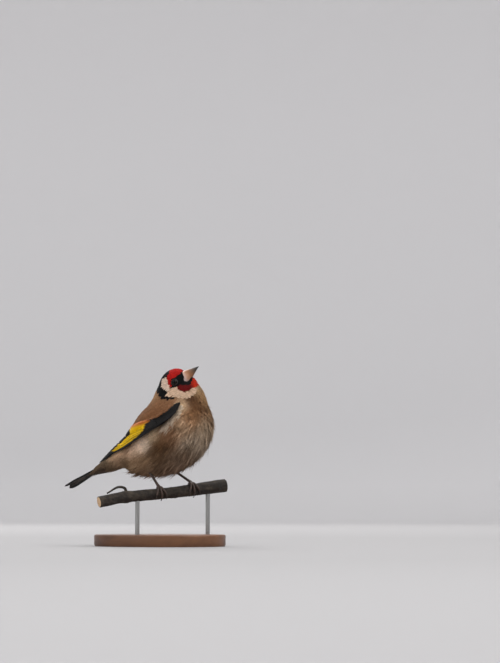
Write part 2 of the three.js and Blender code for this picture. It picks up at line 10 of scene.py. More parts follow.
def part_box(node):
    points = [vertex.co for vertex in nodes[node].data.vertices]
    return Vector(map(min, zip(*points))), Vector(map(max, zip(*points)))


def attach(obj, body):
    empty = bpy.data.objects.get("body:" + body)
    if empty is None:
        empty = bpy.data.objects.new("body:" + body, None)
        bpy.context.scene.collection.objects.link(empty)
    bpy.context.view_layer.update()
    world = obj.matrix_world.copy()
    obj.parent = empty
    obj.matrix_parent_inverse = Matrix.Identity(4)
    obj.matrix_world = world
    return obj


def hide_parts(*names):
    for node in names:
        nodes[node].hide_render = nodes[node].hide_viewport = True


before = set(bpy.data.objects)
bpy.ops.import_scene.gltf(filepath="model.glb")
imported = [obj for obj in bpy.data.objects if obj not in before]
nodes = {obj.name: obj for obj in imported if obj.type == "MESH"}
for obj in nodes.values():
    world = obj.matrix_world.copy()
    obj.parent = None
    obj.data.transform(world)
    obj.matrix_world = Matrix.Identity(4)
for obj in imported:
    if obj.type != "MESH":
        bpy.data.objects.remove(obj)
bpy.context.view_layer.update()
draw = np.random.default_rng(11)

MM = 0.001
FLESH = ("head", "neck", "torso", "rump")
SIDES = {"right": -1, "left": 1}
HEAD_CENTRE = np.array([9.5, 0, 111.5])
BILL_PITCH = math.radians(37.5)
FORWARD = np.array([math.cos(BILL_PITCH), 0, math.sin(BILL_PITCH)])
CROWNWARD = np.array([-FORWARD[2], 0, FORWARD[0]])


# Small helpers
def unit(v):
    return v / np.maximum(np.linalg.norm(v, axis=-1, keepdims=True), 1e-9)


def mix(a, b, share):
    return a + (b - a) * share


def ramp(x, low, high):
    t = np.clip((x - low) / (high - low), 0, 1)
    return t * t * (3 - 2 * t)


def colour(red, green, blue):
    """A colour given as a screen shows it, 0 to 255, in the linear values that shaders take."""
    c = np.array([red, green, blue]) / 255
    return np.where(c <= 0.04045, c / 12.92, ((c + 0.055) / 1.055) ** 2.4)


def rough(points, scale, depth):
    return np.array([noise.fractal(Vector(p * scale), 1.0, 2.0, depth) for p in points])


def middle_of(node):
    low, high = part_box(node)
    return np.array((low + high) / 2) / MM


def smooth_curve(points):
    """A centripetal curve through the points, as a function of the share of its length."""
    p = np.array(points, float)
    p = np.vstack([2 * p[0] - p[1], p, 2 * p[-1] - p[-2]])
    stretches = []
    for corners in zip(p, p[1:], p[2:], p[3:]):
        steps = [np.linalg.norm(b - a) ** 0.5 for a, b in zip(corners, corners[1:])]
        knot = np.cumsum([0, *steps])
        t = np.linspace(knot[1], knot[2], 24, endpoint=False)[:, None]

        def between(a, b, i, j):
            return ((knot[j] - t) * a + (t - knot[i]) * b) / (knot[j] - knot[i])

        first = [between(corners[i], corners[i + 1], i, i + 1) for i in range(3)]
        second = [between(first[i], first[i + 1], i, i + 2) for i in range(2)]
        stretches.append(between(second[0], second[1], 1, 2))
    line = np.vstack([*stretches, p[-2:-1]])
    run = np.cumsum([0, *np.linalg.norm(np.diff(line, axis=0), axis=1)])

    def at(share):
        return np.stack([np.interp(share, run / run[-1], column) for column in line.T], -1)

    return at


def head_point(ahead, side, above):
    return HEAD_CENTRE + np.multiply.outer(ahead, FORWARD) + np.multiply.outer(above, CROWNWARD) + (
        np.multiply.outer(side, [0, 1, 0])
    )


# Making pieces
def placed(name, shape, finish, stands_for=(), crease=None):
    """Puts a mesh, or a bmesh in millimetres, in the scene under the root's empty, and hides the nodes it
    stands for.

    Edges sharper than crease, in degrees, stay sharp.
    """
    mesh = mesh_from(name, shape) if isinstance(shape, bmesh.types.BMesh) else shape
    mesh.name = name
    mesh.materials.append(finish)
    mesh.shade_smooth()
    if crease:
        mesh.set_sharp_from_angle(angle=math.radians(crease))
    made = bpy.data.objects.new(name, mesh)
    bpy.context.scene.collection.objects.link(made)
    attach(made, "root")
    if stands_for:
        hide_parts(*stands_for)
    return made


def plain_mesh(name, bm):
    mesh = bpy.data.meshes.new(name)
    bm.to_mesh(mesh)
    bm.free()
    return mesh


def mesh_from(name, bm):
    """A mesh in metres from a bmesh in millimetres."""
    bmesh.ops.scale(bm, vec=(MM, MM, MM), verts=bm.verts)
    return plain_mesh(name, bm)


def joined(parts):
    whole = bmesh.new()
    for part in parts:
        mesh = plain_mesh("part", part)
        whole.from_mesh(mesh)
        bpy.data.meshes.remove(mesh)
    return whole


def moved_to(bm, points):
    for vert, point in zip(bm.verts, points):
        vert.co = point


def turned(profile, steps):
    """A profile of radii and heights turned round the upright axis."""
    bm = bmesh.new()
    verts = [bm.verts.new((radius, 0, height)) for radius, height in profile]
    geom = verts + [bm.edges.new(pair) for pair in zip(verts, verts[1:])]
    round_axis = {"cent": (0, 0, 0), "axis": (0, 0, 1), "angle": 2 * math.pi}
    bmesh.ops.spin(bm, geom=geom, steps=steps, use_merge=True, **round_axis)
    bmesh.ops.remove_doubles(bm, verts=bm.verts, dist=1e-3)
    bmesh.ops.recalc_face_normals(bm, faces=bm.faces)
    return bm


def rolled(sides, steps, place, filled=True):
    """A tube: a grid rolled up and closed. place gives its points at angles and shares of the way."""
    bm = bmesh.new()
    bmesh.ops.create_grid(bm, x_segments=sides, y_segments=steps, size=1)
    flat = np.array([v.co for v in bm.verts])
    moved_to(bm, place((flat[:, 0] + 1) * math.pi, (flat[:, 1] + 1) / 2))
    bmesh.ops.remove_doubles(bm, verts=bm.verts, dist=1e-4)
    if filled:
        bmesh.ops.holes_fill(bm, edges=[e for e in bm.edges if e.is_boundary])
    bmesh.ops.recalc_face_normals(bm, faces=bm.faces)
    return bm


def tube(points, radius, sides, steps, top=(0, 0, 1)):
    """A round limb along a curve. radius gives its radius at an angle, 0 on the side of top, and a share."""
    curve = smooth_curve(points)

    def place(angle, share):
        ahead = unit(curve(np.minimum(share + 0.01, 1)) - curve(np.maximum(share - 0.01, 0)))
        side = unit(np.cross(ahead, np.array(top, float)))
        rise = np.cross(side, ahead)
        out = rise * np.cos(angle)[:, None] + side * np.sin(angle)[:, None]
        return curve(share) + out * radius(angle, share)[:, None]

    return rolled(sides, steps, place)


def evaluated(mesh, modifiers):
    """The mesh after some modifiers, each a type and its settings."""
    shape = bpy.data.objects.new("shape", mesh)
    bpy.context.scene.collection.objects.link(shape)
    for kind, settings in modifiers:
        modifier = shape.modifiers.new(kind, kind)
        for key, value in settings.items():
            setattr(modifier, key, value)
    graph = bpy.context.evaluated_depsgraph_get()
    result = bpy.data.meshes.new_from_object(shape.evaluated_get(graph))
    bpy.data.objects.remove(shape)
    return result


def table_of(rows, attribute, width, kind=np.float32):
    """An attribute of a mesh's rows as a table, a row to each."""
    values = np.empty(width * len(rows), kind)
    rows.foreach_get(attribute, values)
    return values.reshape(-1, width)


def coordinates(mesh):
    return table_of(mesh.vertices, "co", 3).astype(float) / MM


def normals(mesh):
    return table_of(mesh.vertex_normals, "vector", 3).astype(float)


def set_coordinates(mesh, points):
    mesh.vertices.foreach_set("co", (points * MM).astype(np.float32).ravel())


def tinted(mesh, colours):
    values = np.hstack([colours, np.ones((len(colours), 1))]).astype(np.float32)
    mesh.color_attributes.new("Tint", "FLOAT_COLOR", "POINT").data.foreach_set("color", values.ravel())


def merged_solids(names, grow=0.0):
    """Copies of solids as one bmesh in metres, doubles merged, each grown by some millimetres."""
    parts = []
    for name in names:
        bm = bmesh.new()
        bm.from_mesh(nodes[name].data)
        bmesh.ops.remove_doubles(bm, verts=bm.verts, dist=1e-6)
        bm.normal_update()
        for vert in bm.verts:
            vert.co += vert.normal * grow * MM
        parts.append(bm)
    return joined(parts)


def search_tree(meshes):
    """A tree of faces, in millimetres, for nearest points."""
    points, faces = [], []
    for mesh in meshes:
        start = len(points)
        points += coordinates(mesh).tolist()
        faces += [[start + i for i in face.vertices] for face in mesh.polygons]
    return BVHTree.FromPolygons(points, faces)


def nearest(tree, points):
    """Nearest places on a tree of faces, the outward normals there, and how far they are."""
    found = [tree.find_nearest(p) for p in points.tolist()]
    return tuple(np.array([f[part] for f in found]) for part in (0, 1, 3))


def room_above(tree, places, ups, reach):
    """How far above places a tree of faces is: infinitely far if it is beyond the reach."""
    hits = [tree.ray_cast(p, u, reach)[3] for p, u in zip(places.tolist(), ups.tolist())]
    return np.array([math.inf if hit is None else hit for hit in hits])


def folded(points):
    """Points on the right side brought over to the left."""
    return points * [1, 0, 1] + np.abs(points) * [0, 1, 0]


# The form that the plumage fills: the solids' own flesh, with its seams closed
SEAM = 0.25  # the solids grow by this much, so that they run together
FORM_VOXEL = 0.6


def flesh_form():
    remesh = {"mode": "VOXEL", "voxel_size": FORM_VOXEL * MM}
    smoothing = {"factor": 0.5, "iterations": 12}
    mesh = plain_mesh("flesh", merged_solids(FLESH, SEAM))
    mesh = evaluated(mesh, [("REMESH", remesh), ("SMOOTH", smoothing)])
    set_coordinates(mesh, coordinates(mesh) - normals(mesh) * SEAM)
    mesh.update()
    return mesh


form = flesh_form()
form_tree = search_tree([form])


def node_meshes(*names):
    return [plain_mesh(name, merged_solids([name])) for name in names]


outer_tree = search_tree([form, *node_meshes("wing_right", "wing_left", "tail")])
wing_tree = search_tree(node_meshes("wing_right", "wing_left"))
bill_tree = search_tree(node_meshes("bill_upper", "bill_lower"))

# The right wing's edges, which the coat parts at
LOWER_EDGE = smooth_curve([
    (20, -14, 95.8), (15.3, -18.3, 87.4), (-0.5, -20.4, 77), (-12.4, -17.8, 70.1),
    (-21, -14.3, 65.5), (-29.1, -10.6, 62.8), (-36.4, -7, 59.5), (-43, -4.2, 55.8),
])
UPPER_EDGE = smooth_curve([
    (18, -12.4, 98.2), (12, -15, 92.3), (4.4, -15.6, 87.9), (-1.3, -15, 85.6), (-8.3, -13, 82.9),
    (-14.1, -10.3, 80.9), (-19.9, -6.3, 78.4), (-25.7, -4.6, 72.9), (-30.9, -3.6, 67.9),
    (-36, -2.9, 62.7), (-42.6, -2.4, 56.6),
])

# Where the coat lies
# The bird's bent axis from bill to tail. The coat lies tailwards along the nearest stretches of it.
AXIS = np.array([
    (24, 0, 120), (9.5, 0, 110), (6, 0, 100), (4, 0, 80), (-12, 0, 66), (-38, 0, 56), (-72, 0, 38),
])


def tailward(points, up):
    way = np.zeros_like(points)
    for a, b in zip(AXIS, AXIS[1:]):
        run = b - a
        share = np.clip((points - a) @ run / (run @ run), 0, 1)
        distance = np.linalg.norm(points - (a + share[:, None] * run), axis=1)
        way += unit(run) / (distance[:, None] + 1) ** 4
    way -= up * (way * up).sum(1)[:, None]
    return unit(way)


# Parts of the coat, on both sides alike. Each has its middle, how far it reaches, its colour, then its
# feathers' length and half width, the space between their roots, and how loose they are, 0 to 1.
COAT = {
    "forehead": ((16, 0, 120), 3.5, (120, 86, 60), 1.7, 0.45, 0.5, 0),
    "crown": ((5, 0, 119), 4.5, (112, 82, 58), 2.3, 0.55, 0.55, 0),
    "face": ((14, 8, 110), 4.5, (142, 110, 84), 1.8, 0.45, 0.5, 0),
    "chin": ((24, 3, 107), 3.5, (182, 152, 116), 1.9, 0.5, 0.55, 0.2),
    "nape": ((-1, 5, 102), 4, (192, 150, 110), 3.4, 0.8, 0.75, 0.1),
    "neck": ((6, 12, 97), 4, (142, 102, 72), 4.0, 0.88, 0.71, 0.1),
    "throat": ((31, 0, 98), 4.5, (158, 122, 84), 4.0, 0.88, 0.71, 0.6),
    # partly the breast's own brown band, partly painted shade under the cheek
    "throat_side": ((26, 9, 98), 3.2, (77, 47, 27), 4.0, 0.88, 0.71, 0.5),
    "bend": ((21, 13, 95), 2.6, (190, 158, 124), 4.5, 0.88, 0.71, 0.6),
    "mantle": ((-9, 0, 93), 8, (136, 95, 63), 6.0, 1.32, 0.88, 0.05),
    "shoulder": ((1, 13, 93), 6, (130, 87, 56), 6.0, 1.41, 0.88, 0.05),
    "back": ((-22, 0, 78), 8, (130, 92, 64), 6.5, 1.41, 0.97, 0.1),
    "rump": ((-34, 0, 65), 6, (190, 166, 138), 7.0, 1.41, 0.97, 0.3),
    "breast": ((34, 0, 88), 6, (122, 89, 60), 6.0, 1.14, 0.8, 0.8),
    "breast_top": ((31, 9, 93), 4, (100, 65, 38), 5.5, 1.06, 0.76, 0.7),
    "breast_side": ((28, 14, 86), 4, (144, 102, 67), 6.0, 1.14, 0.8, 0.8),
    "breast_low": ((33, 5, 80), 5, (150, 127, 101), 7.0, 1.23, 0.84, 0.9),
    "pale_side": ((22, 17, 81), 4, (166, 136, 107), 7.0, 1.23, 0.84, 0.9),
    "lower_breast": ((32, 6, 71), 7, (154, 135, 115), 8.0, 1.32, 0.88, 1.0),
    # the belly's grey-brown, painted darker as shade on the underside
    "belly": ((17, 6, 56), 8, (121, 98, 79), 9.0, 1.32, 0.92, 1.0),
    "flank_top": ((12, 18, 77), 4.5, (140, 102, 74), 7.5, 1.32, 0.88, 0.9),
    "flank": ((7, 18, 68), 5, (78, 53, 30), 8.5, 1.41, 0.92, 0.9),
    # partly the flank's own pale edge, partly painted light where it swells over the wing
    "flank_edge_lit": ((-8, 15, 70), 3.6, (255, 228, 202), 7.0, 1.23, 0.88, 0.1),
    "flank_edge_rear": ((-13.5, 13.5, 66), 2.8, (232, 198, 168), 7.0, 1.23, 0.88, 0.3),
    # painted light just under the wing's lower edge, against the wing's shadow there
    "flank_lip_lit": ((0.5, 17, 77), 2.8, (236, 206, 168), 7.0, 1.23, 0.88, 0.2),
    "flank_low": ((3, 15, 60), 3.5, (88, 64, 43), 8.5, 1.41, 0.92, 0.9),
    "rear_flank": ((-8, 13, 58), 5, (150, 120, 91), 9.0, 1.41, 0.92, 0.8),
    "thigh": ((0, 8, 50), 6, (132, 106, 83), 7.0, 1.23, 0.88, 1.0),
    "vent": ((-28, 9.3, 61.5), 4, (212, 174, 140), 9.0, 1.5, 1.01, 0.6),
    "vent_shade": ((-23.5, 9, 57.5), 2.8, (80, 60, 41), 8.0, 1.41, 0.97, 0.5),
    "undertail_shade": ((-34, 7.5, 55.5), 3.2, (72, 56, 38), 9.0, 1.41, 0.97, 0.3),
    # the undertail coverts' buff, painted darker as shade on their underside
    "undertail": ((-32, 0, 50), 5.5, (120, 98, 74), 11.0, 1.5, 1.01, 0.3),
    "undertail_tip": ((-47.5, 0, 47), 3.8, (66, 52, 43), 11.0, 1.5, 1.01, 0.2),
}
COAT_MIDDLES = np.array([row[0] for row in COAT.values()], float)
COAT_REACHES = np.array([row[1] for row in COAT.values()], float)
COAT_COLOURS = np.array([colour(*row[2]) for row in COAT.values()])
COAT_SIZES = np.array([row[3:] for row in COAT.values()], float)


def coat_shares(points):
    """How much each part of the coat counts at some points."""
    distance = np.linalg.norm(folded(points)[:, None] - COAT_MIDDLES, axis=2) / COAT_REACHES
    weight = np.exp(-0.5 * (distance**2 - distance.min(1)[:, None] ** 2))
    return weight / weight.sum(1)[:, None]


def coat_sizes(points):
    """Length, half width, space and looseness of the coat's feathers at some points."""
    return coat_shares(points) @ COAT_SIZES


def coat_depth(points):
    return np.clip(0.22 * coat_sizes(points)[:, 0], 0.35, 1.3)


# The head's marks, as outlines in its side view: distance ahead of its centre and height above it
BROW_EDGE = [
    (13, 2.6), (10.7, 2.2), (9.2, 0.7), (6.3, 0.2), (4, 0.3), (1.8, 0.6), (0.2, -0.8), (-0.3, -2.8),
]
BROW = [
    *BROW_EDGE,
    (-1.4, -3.8), (-2.1, -1.8), (-1.6, 0), (-0.3, 2.2), (0.4, 4.2), (3.4, 6.2), (4.6, 12), (12, 10),
]
CHIN = [
    (2.3, -5.9), (5, -6.4), (7.5, -8.1), (9.2, -9.8), (10.8, -9.4), (12.2, -8), (13.6, -6), (16.5, -8),
    (15.5, -12), (13, -13.4), (11.9, -14.2), (9.2, -13.2), (7.3, -13.9), (5.1, -12.8), (3, -10.2),
    (2.1, -7.8),
]
LORES = [
    *BROW_EDGE,
    (-1.3, -3.9), (-0.4, -5.1), (2.3, -6), (5.1, -6.5), (7.5, -8.2), (9, -9.9), (10.8, -9.8), (12.6, -7.8),
    (14.5, -5),
]
EAR = [
    (-3, 5.6), (-0.6, 4.8), (-0.1, 2.2), (-1.4, -0.1), (-1.9, -2.4), (-2.3, -4.1), (-4.4, -4.4),
    (-5.2, -3.4), (-5.9, -1.9), (-6.1, 0.6), (-5.7, 3.1), (-4.4, 4.9),
]
CHEEK = [
    (-7.3, -6.6), (-5.2, -4.9), (-2.1, -4), (0.6, -4.8), (1.9, -6), (2.4, -8.2), (3.3, -10.7), (5.2, -13.1),
    (7.4, -14.3), (9.2, -13.5), (10.8, -13.6), (11.9, -14.9), (10.3, -17.9), (6.8, -17.9), (3.5, -17.1),
    (-0.5, -13.9), (-2.4, -11.3), (-6.1, -7.8),
]
CROWN = [
    (4.6, 16), (4.4, 7), (3.6, 5.8), (0.6, 3.4), (-0.7, 4.8), (-3, 5.6), (-4.4, 4.9), (-5.7, 3.1),
    (-6.1, 0.6), (-5.9, -1.9), (-5.2, -3.5), (-4.6, -4.3), (-7.1, -6.3), (-6.1, -8.2), (-2.5, -11.2),
    (-2.8, -12.3), (-7.1, -9.6), (-9.4, -8.2), (-10.8, -5.4), (-11.2, -2.5), (-11.6, 2.5), (-9, 12), (-2, 17),
]
# Each mark has its outline, its colour, and how far from the middle of the head it starts
MARKS = [
    (CHEEK, (216, 184, 156), 0),
    (EAR, (232, 206, 184), 4),
    (CROWN, (15, 13, 13), 0),
    (BROW, (184, 24, 18), 0),
    # the chin's red is painted darker than the brow's, partly as shade under the head
    (CHIN, (104, 10, 9), 0),
    (LORES, (11, 10, 10), 0),
]
MARKS_ABOVE = 92  # no mark reaches lower than this


def inside(places, edge):
    """Which of some flat places lie inside an edge."""
    x, y = places.T
    odd = np.zeros(len(x), bool)
    for (x0, y0), (x1, y1) in zip(edge, edge[1:] + edge[:1]):
        if y0 != y1:
            odd ^= ((y0 > y) != (y1 > y)) & (x < (x1 - x0) * (y - y0) / (y1 - y0) + x0)
    return odd


def plumage_colours(points):
    """The coat's colours, mottled where it is loose, with the head's marks over them."""
    shares = coat_shares(points)
    loose = shares @ COAT_SIZES[:, 3]
    mottle = rough(points * [0.1, 0.17, 0.17], 1.0, 3) * (0.08 + 0.35 * loose)
    colours = (shares @ COAT_COLOURS) * np.exp(mottle[:, None] * [1.0, 1.12, 1.25])
    # Loose parts are painted lighter: painted light against the shade that loose feathers cast on each other.
    colours *= 1 + 0.3 * loose[:, None]
    from_centre = points - HEAD_CENTRE
    flat = np.stack([from_centre @ FORWARD, from_centre @ CROWNWARD], 1)
    for edge, shade, from_middle in MARKS:
        marked = inside(flat, edge) & (np.abs(points[:, 1]) > from_middle) & (points[:, 2] > MARKS_ABOVE)
        colours[marked] = colour(*shade)
        if edge is CHIN:
            bright = ramp(flat[:, 0], 9.5, 12)[marked, None]
            colours[marked] = mix(colours[marked], colour(200, 46, 18), bright)
    return colours


# Materials
def new_material(name):
    material = bpy.data.materials.new(name)
    material.use_nodes = True
    tree = material.node_tree
    return material, tree, tree.nodes["Principled BSDF"]


def add(tree, kind, settings=None, inputs=None):
    """Adds a node with its settings. An input is a value or another node's output."""
    made = tree.nodes.new(kind)
    for key, value in (settings or {}).items():
        setattr(made, key, value)
    for key, value in (inputs or {}).items():
        if isinstance(value, bpy.types.NodeSocket):
            tree.links.new(value, made.inputs[key])
        else:
            made.inputs[key].default_value = value
    return made


def rgba(*screen):
    return (*colour(*screen), 1)


def effect(name, inputs, outputs):
    """A node group with named sockets: its tree, what it is given and what it puts out."""
    group = bpy.data.node_groups.new(name, "ShaderNodeTree")
    for way, sockets in (("INPUT", inputs), ("OUTPUT", outputs)):
        for socket, kind in sockets.items():
            group.interface.new_socket(socket, in_out=way, socket_type=f"NodeSocket{kind}")
    return group, group.nodes.new("NodeGroupInput").outputs, group.nodes.new("NodeGroupOutput").inputs


def uneven_effect():
    """Unevenness in the object's own space: a value, a colour between two, and a relief."""
    numbers = ("Scale", "Detail", "Roughness", "Low", "High", "Strength", "Depth")
    inputs = {"Stretch": "Vector", "Dark": "Color", "Light": "Color"} | dict.fromkeys(numbers, "Float")
    group, given, out = effect("uneven", inputs, {"Colour": "Color", "Value": "Float", "Normal": "Vector"})
    where = add(group, "ShaderNodeTexCoord").outputs["Object"]
    where = add(group, "ShaderNodeMapping", inputs={"Vector": where, "Scale": given["Stretch"]}).outputs[0]
    finer = {key: given[key] for key in ("Scale", "Detail", "Roughness")}
    cloud = add(group, "ShaderNodeTexNoise", inputs={"Vector": where} | finer).outputs["Fac"]
    limits = {"Value": cloud, "From Min": given["Low"], "From Max": given["High"]}
    share = add(group, "ShaderNodeMapRange", inputs=limits).outputs["Result"]
    group.links.new(blended(group, "MIX", given["Dark"], given["Light"], share), out["Colour"])
    group.links.new(cloud, out["Value"])
    group.links.new(relief(group, cloud, given["Strength"], given["Depth"]), out["Normal"])
    return group


def scales_effect():
    """Small round cells in the object's own space: a value that grows from their middles, and a relief."""
    inputs = dict.fromkeys(("Scale", "Strength", "Depth"), "Float")
    group, given, out = effect("scales", inputs, {"Value": "Float", "Normal": "Vector"})
    where = add(group, "ShaderNodeTexCoord").outputs["Object"]
    cells = add(group, "ShaderNodeTexVoronoi", inputs={"Vector": where, "Scale": given["Scale"]})
    from_middle = cells.outputs["Distance"]
    group.links.new(from_middle, out["Value"])
    group.links.new(relief(group, from_middle, given["Strength"], given["Depth"]), out["Normal"])
    return group


def blended(tree, way, a, b, factor=1.0):
    """Two colours mixed or multiplied."""
    made = add(tree, "ShaderNodeMix", {"data_type": "RGBA", "blend_type": way}, {0: factor, 6: a, 7: b})
    return made.outputs[2]


def relief(tree, height, strength, depth):
    inputs = {"Height": height, "Strength": strength, "Distance": depth}
    return add(tree, "ShaderNodeBump", inputs=inputs).outputs["Normal"]


UNEVEN = uneven_effect()
SCALES = scales_effect()
WHOLE = ((0, 0, 0), (255, 255, 255))


def uneven(
    tree,
    scale,
    detail=4,
    shades=WHOLE,
    band=(0.3, 0.7),
    stretch=(1, 1, 1),
    fineness=0.6,
    strength=0,
    depth=0.1,
):
    """Places the effect of unevenness: shades are its two colours, met at the band's two values."""
    inputs = {"Scale": scale, "Detail": detail, "Roughness": fineness, "Stretch": stretch}
    inputs |= {"Dark": rgba(*shades[0]), "Light": rgba(*shades[1]), "Low": band[0], "High": band[1]}
    inputs |= {"Strength": strength, "Depth": depth * MM}
    return add(tree, "ShaderNodeGroup", {"node_tree": UNEVEN}, inputs).outputs


def scales(tree, scale, strength=0, depth=0.1):
    inputs = {"Scale": scale, "Strength": strength, "Depth": depth * MM}
    return add(tree, "ShaderNodeGroup", {"node_tree": SCALES}, inputs).outputs


def stops(tree, factor, *rows):
    """A colour ramp: each row is a place from 0 to 1 and a colour."""
    made = add(tree, "ShaderNodeValToRGB", inputs={"Fac": factor})
    band = made.color_ramp
    while len(band.elements) < len(rows):
        band.elements.new(0.5)
    for element, (place, shade) in zip(band.elements, rows):
        element.position = place
        element.color = rgba(*shade)
    return made.outputs["Color"]


def worked(tree, operation, a, b=0.0, c=0.0):
    return add(tree, "ShaderNodeMath", {"operation": operation}, {0: a, 1: b, 2: c}).outputs[0]


def set_finish(tree, shader, base, normal=None, **values):
    """Links a colour and a relief, and sets the shader's constants."""
    tree.links.new(base, shader.inputs["Base Color"])
    if normal:
        tree.links.new(normal, shader.inputs["Normal"])
    for key, value in values.items():
        shader.inputs[key.replace("_", " ")].default_value = value


def tint_of(tree):
    return add(tree, "ShaderNodeAttribute", {"attribute_name": "Tint"}).outputs["Color"]


def plumage_finish():
    material, tree, shader = new_material("plumage")
    fine = uneven(tree, 900, 3, ((206, 206, 206), (255, 255, 255)), (0.3, 0.75))
    base = blended(tree, "MULTIPLY", tint_of(tree), fine["Colour"])
    set_finish(tree, shader, base, Roughness=0.75, Specular_IOR_Level=0.1, Sheen_Weight=0.04)
    return material


def flight_finish():
    """Flight feathers: their own tints, with barbs that slant off the shaft."""
    material, tree, shader = new_material("flight_feathers")
    place = add(tree, "ShaderNodeUVMap", {"uv_map": "Vane"}).outputs["UV"]
    split = add(tree, "ShaderNodeSeparateXYZ", inputs={"Vector": place})
    slant = worked(tree, "SUBTRACT", split.outputs["Y"], worked(tree, "ABSOLUTE", split.outputs["X"]))
    barb = worked(tree, "SINE", worked(tree, "MULTIPLY", slant, BARB_WAVES))
    # The barbs are painted darker in their furrows: partly their own lines, partly painted shade in the
    # grooves of the relief.
    barb_lines_and_shade = stops(tree, barb, (0.0, (232, 232, 232)), (0.7, (255, 255, 255)))
    worn = uneven(tree, 500, 4, ((244, 242, 240), (255, 255, 255)))["Colour"]
    base = blended(tree, "MULTIPLY", blended(tree, "MULTIPLY", tint_of(tree), barb_lines_and_shade), worn)
    set_finish(tree, shader, base, relief(tree, barb, 0.5, 0.1 * MM), Roughness=0.55, Specular_IOR_Level=0.14)
    return material


def horn_finish():
    """The bill: flesh-white at its root, horn brown with orange blotches, dark at its tip."""
    material, tree, shader = new_material("horn")
    where = add(tree, "ShaderNodeTexCoord").outputs["Object"]
    root = head_point(9.5, 0, -3) * MM
    tip = head_point(21, 0, -3) * MM
    ways = {0: where, 1: tuple(root)}
    from_root = add(tree, "ShaderNodeVectorMath", {"operation": "SUBTRACT"}, ways).outputs["Vector"]
    ways = {0: from_root, 1: tuple(FORWARD / float(np.linalg.norm(tip - root)))}
    along = add(tree, "ShaderNodeVectorMath", {"operation": "DOT_PRODUCT"}, ways).outputs["Value"]
    blotched = worked(tree, "MULTIPLY_ADD", uneven(tree, 260, 5)["Value"], 0.34, along)
    base = stops(
        tree,
        blotched,
        (0.1, (198, 170, 164)),
        (0.3, (178, 132, 104)),
        (0.5, (142, 90, 50)),
        (0.78, (84, 63, 46)),
        (1.0, (26, 22, 21)),
    )
    lines = uneven(tree, 500, 3, stretch=(0.3, 1, 0.3), strength=0.15)["Normal"]
    set_finish(tree, shader, base, lines, Roughness=0.38, Coat_Weight=0.2, Coat_Roughness=0.3)
    return material


def eye_finish():
    material, tree, shader = new_material("eye")
    set_finish(tree, shader, tint_of(tree), Roughness=0.05, Specular_IOR_Level=0.15)
    return material


def scaled_finish(name, shades, roughness):
    """Bare skin with fine scales, for legs, toes and lids."""
    material, tree, shader = new_material(name)
    base = uneven(tree, 700, 4, shades, (0.35, 0.7))["Colour"]
    set_finish(tree, shader, base, scales(tree, 2600, 0.8, 0.2)["Normal"], Roughness=roughness)
    return material


def claw_finish():
    material, tree, shader = new_material("claw")
    base = uneven(tree, 500, 3, ((30, 23, 19), (58, 44, 36)), (0.3, 0.75))["Colour"]
    set_finish(tree, shader, base, Roughness=0.3)
    return material


def bark_finish():
    """Bark: grey-brown, with darker patches, small pale pores and a little lichen."""
    material, tree, shader = new_material("bark")
    base = stops(
        tree,
        uneven(tree, 150, 10, fineness=0.72)["Value"],
        (0.3, (26, 21, 18)),
        (0.48, (50, 42, 35)),
        (0.62, (80, 70, 58)),
        (0.8, (120, 110, 93)),
    )
    pores = stops(tree, scales(tree, 330)["Value"], (0.1, (255, 246, 228)), (0.2, (176, 170, 160)))
    crust = uneven(tree, 380, 10, fineness=0.8, strength=1, depth=1)["Normal"]
    set_finish(tree, shader, blended(tree, "MULTIPLY", base, pores, 0.55), crust, Roughness=0.85)
    return material


def wood_finish(name, shades, scale, stretch, roughness):
    material, tree, shader = new_material(name)
    grain = uneven(tree, scale, 8, shades, stretch=stretch, fineness=0.65, strength=0.12, depth=0.3)
    set_finish(tree, shader, grain["Colour"], grain["Normal"], Roughness=roughness)
    return material


def steel_finish():
    material, tree, shader = new_material("steel")
    base = uneven(tree, 300, 4, ((150, 150, 148), (176, 176, 174)), stretch=(1, 1, 0.05))["Colour"]
    drawn = uneven(tree, 2500, 2, stretch=(1, 1, 0.03), strength=0.12, depth=0.05)["Normal"]
    set_finish(tree, shader, base, drawn, Metallic=1.0, Roughness=0.33)
    return material


BARB_WAVES = 21000.0  # how fast the barbs follow each other along a vane, in radians to the metre
PLUMAGE = plumage_finish()
FLIGHT = flight_finish()
HORN = horn_finish()
EYE = eye_finish()
LEG = scaled_finish("leg", ((46, 33, 27), (84, 63, 52)), 0.5)
LID = scaled_finish("lid", ((20, 17, 16), (40, 33, 30)), 0.55)
CLAW = claw_finish()
BARK = bark_finish()
CUT_WOOD = wood_finish("cut_wood", ((190, 150, 112), (222, 190, 150)), 160, (1, 1, 1), 0.7)
BOARD = wood_finish("board", ((78, 48, 30), (124, 82, 52)), 60, (0.12, 1, 1), 0.42)
STEEL = steel_finish()


# Skin
SKIN_SHADE = 0.75  # the skin is painted darker than the coat, as shade deep under the feathers


def unwrapped(mesh):
    """Gives the skin's own shape an unwrap, which the feathers share."""
    shape = bpy.data.objects.new("shape", mesh)
    bpy.context.scene.collection.objects.link(shape)
    mesh.uv_layers.new(name="OFBake")
    bpy.context.view_layer.objects.active = shape
    shape.select_set(True)
    bpy.ops.object.mode_set(mode="EDIT")
    bpy.ops.mesh.select_all(action="SELECT")
    bpy.ops.uv.smart_project(angle_limit=math.radians(66), island_margin=0.004)
    bpy.ops.object.mode_set(mode="OBJECT")
    bpy.data.objects.remove(shape)


def skin_piece():
    mesh = form.copy()
    out = coordinates(form)
    set_coordinates(mesh, out - normals(form) * coat_depth(out)[:, None])
    # The skin takes the coat's colours, painted darker as shade under the feathers.
    tinted(mesh, plumage_colours(out) * SKIN_SHADE)
    placed("skin", mesh, PLUMAGE, FLESH)


